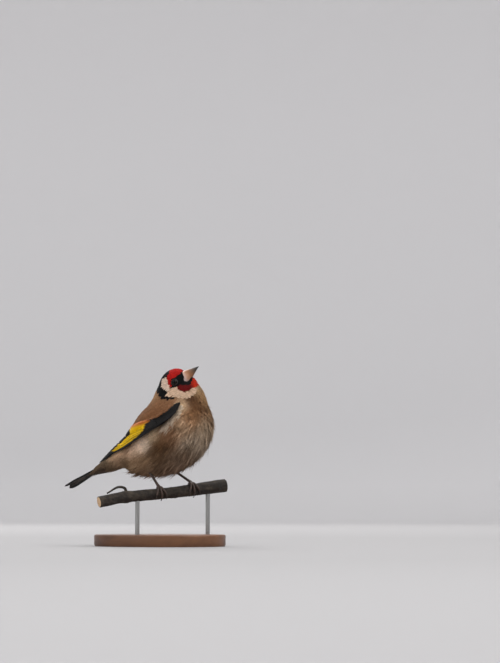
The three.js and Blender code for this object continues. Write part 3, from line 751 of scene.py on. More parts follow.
# Coat
TRIES = 4  # places tried for each feather that the space asks for
UNDER_WING = 2.2  # no feather grows where a wing is nearer than this above
BY_BILL = 0.45  # nor so near the bill
BY_EYE = 0.35  # nor so near an eye's opening
EYE_RADIUS = 2.7
EYE_SUNK = 1.8  # the eye's centre is this far under the face
EYE_OPENING = 2.0


def eye_frame(side):
    """The eye's centre and the way it looks."""
    way = unit(np.array([0.08 * FORWARD[0], side, 0.08 * FORWARD[2]]))
    return middle_of("eye_right" if side < 0 else "eye_left"), way


def from_eyes(places):
    """For each eye: how far off its line of sight places lie, the ways there, and which are on its side."""
    for side in SIDES.values():
        centre, way = eye_frame(side)
        off = places - centre
        off -= (off @ way)[:, None] * way
        yield np.linalg.norm(off, axis=1), unit(off), places[:, 1] * side > 0


def scattered(mesh):
    """Places for roots, spaced as the coat asks: place, normal and place on the unwrap."""
    mesh.calc_loop_triangles()
    corners = table_of(mesh.loop_triangles, "vertices", 3, np.int32)
    loops = table_of(mesh.loop_triangles, "loops", 3, np.int32)
    points, ups = coordinates(mesh)[corners], normals(mesh)[corners]
    flat = table_of(mesh.uv_layers["OFBake"].data, "uv", 2)[loops]
    area = np.linalg.norm(np.cross(points[:, 1] - points[:, 0], points[:, 2] - points[:, 0]), axis=1) / 2
    space = coat_sizes(points.mean(1))[:, 2]
    wanted = area / space**2
    face = draw.choice(len(corners), int(TRIES * wanted.sum()), p=wanted / wanted.sum())
    share = draw.random((len(face), 2))
    share[share.sum(1) > 1] = 1 - share[share.sum(1) > 1]
    share = np.column_stack([1 - share.sum(1), share])[:, :, None]
    places, ups, flat = [(table[face] * share).sum(1) for table in (points, ups, flat)]
    kept = apart(places, space[face])
    return places[kept], unit(ups[kept]), flat[kept]


def apart(places, spaces):
    """Picks places in turn, leaving out those nearer than their space to an earlier one."""
    cell = float(spaces.max())
    near, kept = {}, []
    around = [(i, j, k) for i in (-1, 0, 1) for j in (-1, 0, 1) for k in (-1, 0, 1)]
    keys = np.floor(places / cell).astype(int).tolist()
    for index, ((x, y, z), (i, j, k), space) in enumerate(zip(places.tolist(), keys, spaces.tolist())):
        limit = space * space
        crowded = False
        for a, b, c in around:
            for px, py, pz in near.get((i + a, j + b, k + c), ()):
                if (px - x) ** 2 + (py - y) ** 2 + (pz - z) ** 2 < limit:
                    crowded = True
                    break
            if crowded:
                break
        if not crowded:
            near.setdefault((i, j, k), []).append((x, y, z))
            kept.append(index)
    return np.array(kept)


def bare(places, ups):
    """Where no feather grows: under the wings and the bill, and on the eyes."""
    under_wing = np.isfinite(room_above(wing_tree, places, ups, UNDER_WING)) & ~over_wing(places)
    on_bill = nearest(bill_tree, places)[2] < BY_BILL
    right, left = [(distance < EYE_OPENING + BY_EYE) & same for distance, _, same in from_eyes(places)]
    return under_wing | on_bill | right | left


def landed(tree, places, ups):
    """Places set down on a tree of faces along their normals: the points and normals there."""
    points, rises = [], []
    for place, up in zip((places + ups * DROP).tolist(), (-ups).tolist()):
        point, rise, _, _ = tree.ray_cast(place, up, 6.0)
        if point is None:
            point, rise, _, _ = tree.find_nearest(place)
        points.append(point)
        rises.append(rise)
    return np.array(points), np.array(rises)


STATIONS = 6  # points along a feather's centre line
TURN = 0.35  # how fast a feather turns to the coat's lie
UNDER_WING_GAP = 0.45  # how far under a wing the coat stays
ON_WING = 0.05  # a place nearer a wing's solid than this is on it
OVERHANG = 0.7  # how far the back's feathers hang over a wing's top
WING_FRONT = 17  # ahead of here the coat isn't kept off the wing's top
WING_CLEARANCE = 0.6  # how far the coat lies above a wing's front, and below the rest of it
COVERED_TO = -3.5  # back to here the shoulder's feathers lie over the wing
DROP = 3.2  # how far above a place the search for the tree's face starts


def laid(tree, places, ups, ways, lengths, depths, lifts):
    """Feathers' centre lines, walked over the bird from their roots, and the normals along them."""
    line, rise = [places - ups * depths[:, None]], [ups]
    step = (lengths / (STATIONS - 1))[:, None]
    at, up, way = places, ups, ways
    for k in range(1, STATIONS):
        share = k / (STATIONS - 1)
        found, up = landed(tree, at + way * step, up)
        way = unit(way + TURN * tailward(found, up))
        way = unit(way - up * (way * up).sum(1)[:, None])
        height = -depths * (1 - share) ** 2 + lifts * share**1.5
        if tree is form_tree:
            height = np.minimum(height, room_above(wing_tree, found, up, 4.0) - UNDER_WING_GAP)
        else:
            on_wing = nearest(wing_tree, found)[2] < ON_WING
            height += np.where(found[:, 0] > COVERED_TO, WING_CLEARANCE, -WING_CLEARANCE) * on_wing
        line.append(found + up * height[:, None])
        rise.append(up)
        at = found
    line, rise = np.stack(line, 1), np.stack(rise, 1)
    softened = rise.copy()
    softened[:, 1:-1] = unit(rise[:, :-2] + rise[:, 1:-1] + rise[:, 2:])
    return line, softened


def feather_shape(closed, barbs, spread):
    """A small feather's outline: a vane closed as far as a share of the way, then a comb of barbs.

    Each point has its share of the way, its place across, how loose it is, and its barb's number.
    """
    points, faces = [], []
    for share, half in ((0, 0.3), (0.4, 0.8), (0.75, 1), (1, 0.9)):
        points += [(share * closed, side * half, 0, barbs) for side in (-1, 0, 1)]
    for row in range(3):
        for a in (3 * row, 3 * row + 1):
            faces += [(a, a + 3, a + 4), (a, a + 4, a + 1)]
    half = 1.15 / barbs
    for barb in range(barbs):
        q = 2 * (barb + 0.5) / barbs - 1
        root, tip = closed * (1 - 0.35 * q * q) - 0.03, 1 - 0.3 * abs(q) ** 1.5
        middle, bent = mix(root, tip, 0.5), q * (1 + spread) / 2
        a = len(points)
        points += [(root, 0.88 * q + side * half, 0, barb) for side in (-1, 1)]
        points += [(middle, bent + 0.6 * side * half, 0.4, barb) for side in (-1, 1)]
        points.append((tip, q * spread, 1, barb))
        faces += [(a, a + 2, a + 3), (a, a + 3, a + 1), (a + 2, a + 4, a + 3)]
    share, across, loose, barb = np.array(points, float).T
    return share, across, loose, barb.astype(int), np.array(faces), barbs


SLEEK = feather_shape(0.72, 9, 0.95)
SOFT = feather_shape(0.5, 13, 1.15)
WISP = feather_shape(0.3, 5, 0.75)
TUFT = feather_shape(0.55, 5, 0.3)
PATCH = 0.003  # the size of a feather's patch on the unwrap


def feather_mesh(name, shape, line, rise, halves, ruffle, shades, flat):
    """One mesh of feathers of a shape along their centre lines."""
    share, across, loose, barb, faces, barbs = shape
    count = len(line)
    rows = np.arange(count)[:, None]

    def shaken(size):
        return (draw.normal(0, size, (count, barbs + 1)) * ruffle[:, None])[:, barb] * loose

    along = np.clip(share + shaken(0.12), 0, 1.15) * (STATIONS - 1)
    low = np.clip(np.floor(along).astype(int), 0, STATIONS - 2)
    part = (along - low)[..., None]
    centre = mix(line[rows, low], line[rows, low + 1], part)
    up = unit(mix(rise[rows, low], rise[rows, low + 1], part))
    ahead = unit(line[rows, low + 1] - line[rows, low])
    aside = np.cross(up, ahead)
    w = (across + shaken(0.25)) * halves[:, None]
    camber = 0.22 * across**2 * halves[:, None]
    z = -camber + np.abs(shaken(0.22)) * halves[:, None]
    points = centre + aside * w[..., None] + up * z[..., None]
    tone_and_shade = 1 + (draw.normal(0, 0.07, (count, barbs + 1)) * ruffle[:, None])[:, barb]
    # Each feather is painted darker towards its root, partly for its greyer down and partly as painted shade
    # deep in the coat, and paler towards its tip.
    depth = mix(0.98, 0.65, np.minimum(ruffle, 1))[:, None]
    tone_and_shade *= mix(depth, 1.14, ramp(share, 0.1, 0.85))
    colours = shades[:, None] * tone_and_shade[..., None]
    patch = flat[:, None] + np.stack([across, 2 * share - 1], -1) * PATCH / 2
    corners = (faces + (rows * len(share))[..., None]).reshape(-1, 3)
    mesh = bpy.data.meshes.new(name)
    mesh.vertices.add(points.size // 3)
    set_coordinates(mesh, points)
    mesh.loops.add(corners.size)
    mesh.loops.foreach_set("vertex_index", corners.astype(np.int32).ravel())
    mesh.polygons.add(len(corners))
    mesh.polygons.foreach_set("loop_start", np.arange(0, corners.size, 3, dtype=np.int32))
    mesh.update(calc_edges=True)
    tinted(mesh, colours.reshape(-1, 3))
    uv = patch.reshape(-1, 2)[corners.ravel()].astype(np.float32)
    mesh.uv_layers.new(name="OFBake").data.foreach_set("uv", uv.ravel())
    return mesh


def toward_tail(places, ups):
    """Centre lines of the undertail coverts, from their roots to the tail's underside."""
    count = len(places)
    ends = tail_point(draw.uniform(13, 17.5, count), places[:, 1] * 0.5, np.full(count, -1.3))
    share = np.linspace(0, 1, STATIONS)[None, :, None]
    arch = 0.9 * np.sin(math.pi * np.sqrt(share)) * draw.uniform(0.3, 1, (count, 1, 1)) - 0.3
    line = mix(places[:, None], ends[:, None], share) + ups[:, None] * arch
    rise = unit(mix(ups[:, None], unit(np.array([-0.3, 0, -1.0])) + ups[:, None] * 0.6, share))
    return line, rise


def above_wing(places):
    """How far places lie above the line by each wing's top that the back's feathers grow down to."""
    u = np.linspace(1, 0, 80)[:, None]
    x, _, z = mix(LOWER_EDGE(u[:, 0]), UPPER_EDGE(u[:, 0]), mix(0.98, 1.15, ramp(u, 0.25, 0.36))).T
    return places[:, 2] - np.interp(places[:, 0], x, z)


def over_wing(places):
    """Where feathers lie over the wings and the tail: along the back and a strip by each wing's top."""
    return above_wing(places) > 0


def below_wing(places, start, end, reach):
    """Which places are just below a stretch of a wing's lower edge."""
    edge = folded(LOWER_EDGE(np.linspace(start, end, 60)))
    near = np.linalg.norm(folded(places)[:, None] - edge, axis=2).min(1) < reach
    return near & ~over_wing(places)


def around_eye(places, ways):
    """Turns the feathers that would cross an eye, so that they part round it."""
    near = np.zeros(len(places))
    for distance, off, same in from_eyes(places):
        pull = ramp(-distance, -4.6, -2.2) * same
        meets = np.clip(-(off * ways).sum(1), 0, 1)
        ways = unit(ways + off * (1.5 * pull * meets)[:, None])
        near = np.maximum(near, pull)
    return ways, near


COAT_END = (-51, -47)  # how far back the coat goes, below and above the tail
TAIL_LEVEL = 57


def fitted(places, ways, length):
    """Lengths that end where the coat does, and that don't hang far over the wings' tops."""
    end = mix(*COAT_END, places[:, 2] > TAIL_LEVEL)
    length = np.minimum(length, np.maximum(1.15 * (places[:, 0] - end), 1.5))
    start, drop = above_wing(places), -above_wing(places + ways * length[:, None])
    hangs = (start > 0) & (drop > OVERHANG) & (places[:, 0] < WING_FRONT)
    share = np.clip((start + OVERHANG) / np.maximum(start + drop, 1e-3), 0.4, 1)
    return np.where(hangs, length * share, length)


ROOT_DEPTH = 0.9  # how deep in the coat its feathers root
UNDERTAIL = -32  # behind here the feathers run to the tail's underside
PALE_PLUME = colour(222, 206, 184)


def coat_regions(places):
    """The pieces that the coat is made in, and which places belong to each."""
    on_head = places[:, 2] > 96 + 0.1 * places[:, 0]
    height = places @ unit(np.array([0.55, 0, 1.0]))
    front = places[:, 0] + 0.6 * (places[:, 2] - 80) > 12
    return {
        "coat_head": on_head,
        "coat_breast": ~on_head & front,
        "coat_back": ~on_head & ~front & (height > 66),
        "coat_belly": ~on_head & ~front & (height <= 66),
    }


def coat_lines(places, ups, ways, length, lift):
    """Centre lines and normals of all the coat's feathers, over the wings or under them."""
    above = over_wing(places)
    depth = coat_depth(places) * ROOT_DEPTH
    line, rise = np.empty((2, len(places), STATIONS, 3))
    for tree, chosen in ((outer_tree, above), (form_tree, ~above)):
        rows = [table[chosen] for table in (places, ups, ways, length, depth, lift)]
        line[chosen], rise[chosen] = laid(tree, *rows)
    by_tail = (places[:, 0] < UNDERTAIL) & ~above
    line[by_tail], rise[by_tail] = toward_tail(places[by_tail], ups[by_tail])
    return line, rise


def coat_pieces():
    places, ups, flat = scattered(form)
    grown = ~bare(places, ups)
    places, ups, flat = places[grown], ups[grown], flat[grown]
    length, half, _, loose = coat_sizes(places).T
    count = len(places)
    regions = coat_regions(places)
    ways, by_eye = around_eye(places, tailward(places, ups))
    turn = draw.normal(0, 1, count) * mix(0.12, 0.3, loose)
    ways = unit(ways + np.cross(ups, ways) * turn[:, None])
    length = length * draw.uniform(0.85, 1.15, count) * mix(1, 0.55, by_eye)
    half = half * draw.uniform(0.85, 1.15, count)
    lift = np.clip(0.05 * length, 0.05, 0.35) * mix(0.6, 1.8, loose) * draw.uniform(0.5, 1.3, count)
    length = fitted(places, ways, length)

    beside = below_wing(places, 0, 0.24, 2.8)  # the breast's pale plumes, which fall over the wing's front
    wisp = (draw.random(count) < 0.3 * ramp(loose, 0.55, 0.85)) & (places[:, 0] > -6)
    wisp |= beside & (draw.random(count) < 0.4)
    wisp &= ~regions["coat_head"]
    length[wisp] *= 1.2
    lift[wisp] = draw.uniform(0.5, 1, wisp.sum()) ** 2 * mix(0.8, 2.6, ramp(loose, 0.55, 0.95))[wisp]
    lift[beside] = draw.uniform(0.5, 1.4, beside.sum())
    lift[below_wing(places, 0.2, 0.58, 3)] += 0.8  # the flank swells up to the wing's lower edge
    hanging = ramp(-ups[:, 2], 0.1, 0.7)
    tuft = ~wisp & (draw.random(count) < mix(0.1, 0.2, hanging) * ramp(loose, 0.55, 0.85)) & ~beside
    tuft &= places[:, 0] > mix(-6, -14, hanging)
    length[tuft] *= mix(1.0, 1.3, hanging)[tuft]
    lift[tuft] = draw.uniform(1, mix(3, 4, hanging)[tuft])
    line, rise = coat_lines(places, ups, ways, length, lift)

    shown = line[:, 3] + draw.normal(0, 0.18, (count, 3))
    shades = plumage_colours(shown) * (1 + draw.normal(0, 0.07, (count, 1)))
    shades[wisp] *= draw.choice([0.8, 1.04, 1.1], (wisp.sum(), 1))
    shades[tuft] *= draw.choice([0.7, 1.0], (tuft.sum(), 1))
    shades[beside] = mix(shades[beside], PALE_PLUME, 0.6)
    soft = (draw.random(count) < loose) & ~wisp & ~tuft
    kinds = {
        "sleek": (SLEEK, ~soft & ~wisp & ~tuft),
        "soft": (SOFT, soft),
        "wisps": (WISP, wisp),
        "tufts": (TUFT, tuft),
    }
    tables = (line, rise, half, mix(0.35, 1.3, loose), shades, flat)
    for region, chosen in regions.items():
        for kind, (shape, picked) in kinds.items():
            which = chosen & picked
            if which.any():
                name = f"{region}_{kind}"
                mesh = feather_mesh(name, shape, *[table[which] for table in tables])
                placed(name, mesh, PLUMAGE)


# Wings
WING_LIE = 0.9  # the least height of a wing's surface over the body
VANE_THICKNESS = 0.1
SHAFT = -0.1  # where a wing feather's shaft is across its vane
ROOT_BOW = 0.03  # how much further back the first and the last covert of a row root


def wing_surface():
    """The right wing's middle surface: a function of shares along and across it, and of lift."""
    u, v = np.linspace(0, 1, 121), np.linspace(-0.15, 1.15, 53)
    low, high = LOWER_EDGE(u), UPPER_EDGE(u)
    points = mix(low[:, None], high[:, None], v[None, :, None])
    flat = points.reshape(-1, 3)
    for _ in range(2):
        found, up, _ = nearest(form_tree, flat)
        flat = flat + up * np.maximum(WING_LIE - ((flat - found) * up).sum(1), 0)[:, None]
    points = flat.reshape(points.shape)
    run = np.gradient(low, axis=0)
    rise = unit(np.cross(high - low, run))

    def at(along, across, lift):
        i = np.clip(along, 0, 1) * (len(u) - 1)
        j = np.clip((across - v[0]) / (v[-1] - v[0]), 0, 1) * (len(v) - 1)
        i0, j0 = np.minimum(i.astype(int), len(u) - 2), np.minimum(j.astype(int), len(v) - 2)
        a, b = (i - i0)[:, None], (j - j0)[:, None]
        near = mix(points[i0, j0], points[i0, j0 + 1], b)
        far = mix(points[i0 + 1, j0], points[i0 + 1, j0 + 1], b)
        up = unit(mix(rise[i0], rise[i0 + 1], a))
        return mix(near, far, a) + up * lift[:, None]

    return at


# Rows of feathers from the lowest layer up. Each has how many show, their half width, and for the first
# and the last of them the root and tip as shares along and across the wing, and the height.
WING_ROWS = {
    "primary": (7, 2.2, ((0.34, 0.1), (1.0, 0.42), 0.0), ((0.34, 0.42), (0.76, 0.8), 0.4)),
    "secondary": (6, 2.2, ((0.34, 0.42), (0.71, 0.52), 0.45), ((0.34, 0.72), (0.62, 0.86), 0.6)),
    "tertial": (3, 2.5, ((0.34, 0.8), (0.74, 0.8), 0.7), ((0.34, 0.95), (0.55, 0.92), 0.95)),
    "primary_covert": (5, 1.2, ((0.2, 0.06), (0.46, 0.1), 0.45), ((0.2, 0.26), (0.41, 0.3), 0.6)),
    "greater_covert": (9, 1.5, ((0.19, 0.28), (0.42, 0.3), 0.75), ((0.22, 0.84), (0.43, 0.98), 0.9)),
    "alula": (3, 0.9, ((0.08, 0.12), (0.32, 0.08), 0.8), ((0.09, 0.22), (0.25, 0.16), 0.9)),
    "median_covert": (8, 1.3, ((0.13, 0.16), (0.27, 0.2), 0.92), ((0.14, 0.8), (0.28, 0.86), 1.02)),
    "lesser_covert": (8, 1.15, ((0.09, 0.12), (0.2, 0.15), 0.97), ((0.1, 0.8), (0.21, 0.84), 1.06)),
    "upper_lesser_covert": (8, 1.1, ((0.05, 0.1), (0.15, 0.12), 1.0), ((0.06, 0.78), (0.16, 0.82), 1.1)),
    "marginal_covert": (7, 1.1, ((0.02, 0.1), (0.1, 0.1), 1.04), ((0.03, 0.76), (0.11, 0.8), 1.13)),
    "upper_marginal_covert": (6, 1.0, ((0.0, 0.16), (0.06, 0.1), 1.07), ((0.0, 0.7), (0.07, 0.78), 1.16)),
}
BLACK = colour(15, 14, 14)
DARK_BROWN = colour(30, 25, 22)
YELLOW = colour(255, 206, 0)
ORANGE = colour(188, 100, 46)
WHITE = colour(226, 216, 202)
# The yellow panel's outline, in shares along and across the wing
PANEL = [
    (0.317, 0.8), (0.32, 1.3), (0.575, 1.3), (0.568, 0.88), (0.61, 0.69), (0.725, 0.59), (0.8, 0.42),
    (0.81, 0.22), (0.73, 0.29), (0.618, 0.2), (0.535, 0.21), (0.458, 0.3), (0.417, 0.36), (0.375, 0.74),
]


def vane(long, wide):
    """A flat grid for one vane: its bmesh, and its points' shares across, -1 to 1, and along."""
    bm = bmesh.new()
    bmesh.ops.create_grid(bm, x_segments=wide, y_segments=long, size=1)
    flat = np.array([v.co for v in bm.verts])
    return bm, flat[:, 0], (flat[:, 1] + 1) / 2


def vane_width(t, blunt):
    """A long feather's width along it: rounded at the tip, narrow at the root."""
    end = np.clip((t - blunt) / (1 - blunt), 0, 1)
    return mix(0.55, 1, ramp(t, 0, 0.35)) * np.sqrt(np.maximum(1 - end**2, 0.0)) + 0.02


def flight_mesh(feathers):
    """Joins vanes, each a bmesh with its tints and places on the vane, into one mesh of thin solids."""
    vanes, places, tints, lays = zip(*feathers)
    for bm, points in zip(vanes, places):
        moved_to(bm, points)
    mesh = mesh_from("vanes", joined(vanes))
    tinted(mesh, np.vstack(tints))
    corner = table_of(mesh.loops, "vertex_index", 1, np.int32)[:, 0]
    uv = np.vstack(lays)[corner].astype(np.float32) * MM
    mesh.uv_layers.new(name="Vane").data.foreach_set("uv", uv.ravel())
    return evaluated(mesh, [("SOLIDIFY", {"thickness": VANE_THICKNESS * MM, "offset": 0})])


def wing_tint(row, s, t, along, across):
    """Black, with the yellow panel on the flight feathers and coverts, and pale tips."""
    tint = np.tile(BLACK, (len(s), 1))
    panel = inside(np.stack([along, across], 1), PANEL)
    if row == "tertial":
        panel &= along < 0.56
    warm = 0.95 * ramp(across - 1.2 * (along - 0.4), 0.6, 0.95)
    tint[panel] = mix(YELLOW, ORANGE, warm[:, None])[panel]
    if row in ("primary", "secondary"):
        tint[panel & (s < -0.93)] = BLACK
        tint[(t > 0.985) & (s < 0)] = WHITE
    if row == "tertial":
        tint[t > 0.96] = WHITE
    if "covert" in row:
        tint[(np.abs(s) > 0.8) & ~panel] = DARK_BROWN
    tint[np.abs(s - SHAFT) < 0.06] *= 0.6
    return tint


def wing_feathers(surface, mirror):
    """The right wing's vanes, or with mirror -1 the left one's, over a broad one that closes the gaps."""
    steps = np.linspace(0, 1, 101)
    chord = np.linalg.norm(UPPER_EDGE(steps) - LOWER_EDGE(steps), axis=1)
    bm, s, t = vane(60, 16)
    top = mix(0.8, 0.95, ramp(t, 0.25, 0.4))
    narrowed = np.sqrt((1 - 0.8 * t**6) * mix(0.15, 1, ramp(t, 0, 0.07)))
    along, across = 0.01 + 0.93 * t, mix(0.06, top, 0.5 + 0.5 * s * narrowed)
    points = surface(along, across, np.zeros(len(s)))
    points[:, 1] *= mirror
    feathers = [(bm, points, wing_tint("under", s, t, along, across), np.stack([s, t], 1))]
    for row, (count, half, first, last) in WING_ROWS.items():
        long = 26 if row in ("primary", "secondary", "tertial") else 12
        for number in range(count):
            share = number / max(count - 1, 1)
            root, tip = (mix(np.array(first[end]), np.array(last[end]), share) for end in (0, 1))
            if "covert" in row:
                root[0] += ROOT_BOW * (2 * share - 1) ** 2
            bm, s, t = vane(long, 8)
            along = mix(root[0], tip[0], t)
            width = half * vane_width(t, 0.8 if long > 20 else 0.6) * draw.uniform(0.94, 1.06)
            here = np.maximum(np.interp(along, steps, chord), 3)
            across = mix(root[1], tip[1], t) + s * width / here
            lift = mix(first[2], last[2], share) * ramp(t, 0, 0.5) + 0.15
            lift -= 0.5 * ramp(across, 0.68, 0.95) * (1 - ramp(along, 0.25, 0.33))
            lift = lift - 0.16 * s * width - 0.12 * s * s * width + 0.05 * (np.abs(s - SHAFT) < 0.12)
            points = surface(along, across, lift)
            points[:, 1] *= mirror
            ends = surface(*np.array([(*root, 0), (*tip, 0)]).T)
            lay = np.stack([s * width, t * np.linalg.norm(ends[0] - ends[1])], 1)
            feathers.append((bm, points, wing_tint(row, s, t, along, across), lay))
    return feathers


def wing_pieces():
    surface = wing_surface()
    for name, side in SIDES.items():
        mesh = flight_mesh(wing_feathers(surface, -side))
        placed(f"wing_{name}_feathers", mesh, FLIGHT, [f"wing_{name}"], 40)


# Tail
TAIL_ROOT = np.array([-36, 0, 57.4])
TAIL_FALL = math.radians(28)
TAIL_LENGTH = 36.3
TAIL_FORK = 3.4
TAIL_ROLL = (math.radians(2), math.radians(12))  # how far it is twisted, right edge up, at root and tip
TAIL_PAIRS = 6
SPOTTED_PAIR = 4  # from this pair on outwards the feathers have a dull spot, the others a pale tip
SPOT = colour(78, 70, 64)
TAIL_BROWN = colour(54, 45, 38)
TAIL_BACK = np.array([-math.cos(TAIL_FALL), 0, -math.sin(TAIL_FALL)])


def tail_point(along, side, lift):
    roll = mix(*TAIL_ROLL, ramp(along / TAIL_LENGTH, 0.15, 0.8))[:, None]
    across = np.array([0, 1, 0]) * np.cos(roll) + np.cross(TAIL_BACK, [0, 1, 0]) * np.sin(roll)
    top = np.cross(across, TAIL_BACK)
    return TAIL_ROOT + along[:, None] * TAIL_BACK + side[:, None] * across + lift[:, None] * top


def tail_piece():
    feathers = []
    for pair in range(TAIL_PAIRS):
        for side in (-1, 1):
            bm, s, t = vane(30, 8)
            length = TAIL_LENGTH - TAIL_FORK * (1 - pair / (TAIL_PAIRS - 1)) ** 1.3
            half = mix(1.6, 2.9, t**0.8) * vane_width(t, 0.86)
            middle = side * mix(0.5 + 0.15 * pair, 1.2 + 0.5 * pair, t)
            layer = 0.95 - 0.24 * pair + 0.08 * side
            lift = layer - 0.1 * s * side * half - 0.05 * s * s * half
            points = tail_point(t * length, middle + s * half, lift)
            tint = mix(BLACK, TAIL_BROWN, 0.7 * (s * side < 0)[:, None])
            if pair < SPOTTED_PAIR:
                tint[t > 0.98] = WHITE
            else:
                tint[(s * side < -0.15) & (t > 0.6) & (t < 0.82)] = SPOT
            tint[np.abs(s) < 0.06] *= 0.6
            feathers.append((bm, points, tint, np.stack([s * half, t * length], 1)))
    placed("tail_feathers", flight_mesh(feathers), FLIGHT, ["tail"], 40)


# Bill
BILL_MIDDLE = -2.75
# Each row: distance ahead of the head's centre, half width, height above the bill's middle, depth below it
BILL_SECTIONS = [
    (5.5, 4.4, 4.9, 6.4), (9.3, 3.9, 4.55, 5.1), (12, 3, 3.8, 3.5), (14.5, 2.15, 2.85, 2.35),
    (17, 1.35, 1.85, 1.4), (19, 0.72, 1, 0.68), (20.5, 0.28, 0.4, 0.22), (21.05, 0.08, 0.1, 0.06),
]
MOUTH = [(24, -2.92), (12.8, -3.7), (8.6, -6.6), (3, -11)]
MOUTH_GAP = 0.12
NOSTRIL = (12.0, 2.65, -0.75)
NOSTRIL_RADIUS = 0.42


def ball(centre, radius, round_, high):
    bm = bmesh.new()
    bmesh.ops.create_uvsphere(bm, u_segments=round_, v_segments=high, radius=radius)
    bmesh.ops.translate(bm, vec=centre, verts=bm.verts)
    return bm


def cut(mesh, block, operation):
    tool = bpy.data.objects.new("tool", block)
    bpy.context.scene.collection.objects.link(tool)
    result = evaluated(mesh, [("BOOLEAN", {"object": tool, "operation": operation, "solver": "EXACT"})])
    bpy.data.objects.remove(tool)
    return result


def bill_form():
    sections = smooth_curve(BILL_SECTIONS)

    def place(angle, share):
        ahead, half, above, below = sections(share).T
        rise = np.sign(np.sin(angle)) * np.abs(np.sin(angle)) ** 0.8
        side = np.sign(np.cos(angle)) * np.abs(np.cos(angle)) ** 0.8
        return head_point(ahead, half * side, BILL_MIDDLE + rise * np.where(rise > 0, above, below))

    return mesh_from("bill", rolled(56, 48, place))


def mouth_block(way):
    """A block on one side of the mouth's line: way 1 is above it, -1 below."""
    line = [(ahead, above + way * MOUTH_GAP / 2) for ahead, above in MOUTH]
    line += [(MOUTH[-1][0], way * 30), (MOUTH[0][0], way * 30)]
    bm = bmesh.new()
    verts = [bm.verts.new(head_point(ahead, -10.0, above)) for ahead, above in line]
    face = bm.faces.new(verts)
    grown = bmesh.ops.extrude_face_region(bm, geom=[face])["geom"]
    bmesh.ops.translate(bm, vec=(0, 20, 0), verts=[g for g in grown if isinstance(g, bmesh.types.BMVert)])
    bmesh.ops.recalc_face_normals(bm, faces=bm.faces)
    return mesh_from("block", bm)


def bill_pieces():
    for name, way in (("upper", 1), ("lower", -1)):
        half = cut(bill_form(), mouth_block(way), "INTERSECT")
        if way > 0:
            for side in SIDES.values():
                hole = ball(head_point(*np.multiply(NOSTRIL, (1, side, 1))), NOSTRIL_RADIUS, 16, 10)
                half = cut(half, mesh_from("nostril", hole), "DIFFERENCE")
        placed(f"bill_{name}_horn", half, HORN, [f"bill_{name}"])


# Eyes
IRIS_COLOUR = colour(30, 18, 12)
PUPIL_COLOUR = colour(4, 3, 3)
PUPIL_RIM = (math.cos(math.radians(27)), math.cos(math.radians(24)))


def eye_pieces():
    for name, side in SIDES.items():
        centre, way = eye_frame(side)
        bm = ball(centre, EYE_RADIUS, 48, 32)
        facing = np.array([(np.array(v.co) - centre) @ way for v in bm.verts]) / EYE_RADIUS
        mesh = mesh_from(f"eyeball_{name}", bm)
        tinted(mesh, mix(IRIS_COLOUR, PUPIL_COLOUR, ramp(facing, *PUPIL_RIM)[:, None]))
        placed(mesh.name, mesh, EYE, [f"eye_{name}"])
        lid_piece(name, centre, way)


def lid_piece(name, centre, way):
    """The ring of lids: a little longer than high, with fine bumps round it."""
    along = unit(FORWARD - (FORWARD @ way) * way)
    above = np.cross(way, along)
    rim = centre + way * (EYE_SUNK + 0.05)

    def place(angle, share):
        turn = 2 * math.pi * share
        out = np.outer(np.cos(turn), along) * 1.04 + np.outer(np.sin(turn), above) * 0.97
        thick = 0.26 * (1 + 0.12 * np.cos(22 * turn))
        ring = out * (EYE_OPENING + 0.08 + np.cos(angle) * thick)[:, None]
        return rim + ring + np.outer(np.sin(angle) * thick * 0.9, way)

    placed(f"lids_{name}", rolled(12, 88, place, False), LID)


# Perch
PERCH_POINTS = [(-43.6, 30), (-25.3, 33.3), (-5.5, 35), (14, 36.9), (33.4, 39.4), (48.8, 41.4)]
PERCH_HEADING = math.radians(42)
PERCH_START = np.array([2.5, -8, 0])
PERCH_RUN = np.array([math.cos(PERCH_HEADING), math.sin(PERCH_HEADING), 0])
PERCH_LINE = [PERCH_START + PERCH_RUN * run + np.array([0, 0, z]) for run, z in PERCH_POINTS]
PERCH = smooth_curve(PERCH_LINE)
PERCH_RADIUS = 3.7
PERCH_SPAN = 92
COLLAR = 0.21  # where the side twig springs


def perch_radius(share):
    collar = 0.45 * np.exp(-(((share - COLLAR) / 0.025) ** 2))
    return PERCH_RADIUS + 0.75 * ramp(share, 0.55, 1) + collar


# Buds and scars on the bark: each has its share of the way, its angle round the perch and its size
KNOBS = [
    (0.1, 2.2, 1.0), (0.17, 5.2, 0.8), (0.31, 4.0, 1.1), (0.4, 1.1, 0.7), (0.6, 3.6, 1.2), (0.86, 4.6, 1.0),
    (0.93, 1.9, 1.2),
]
TWIG = ((0, 0, 0), (-0.5, -0.5, 5.6), (-4, -3.6, 6.6), (-10, -9.4, 2.4))  # its points, from the collar


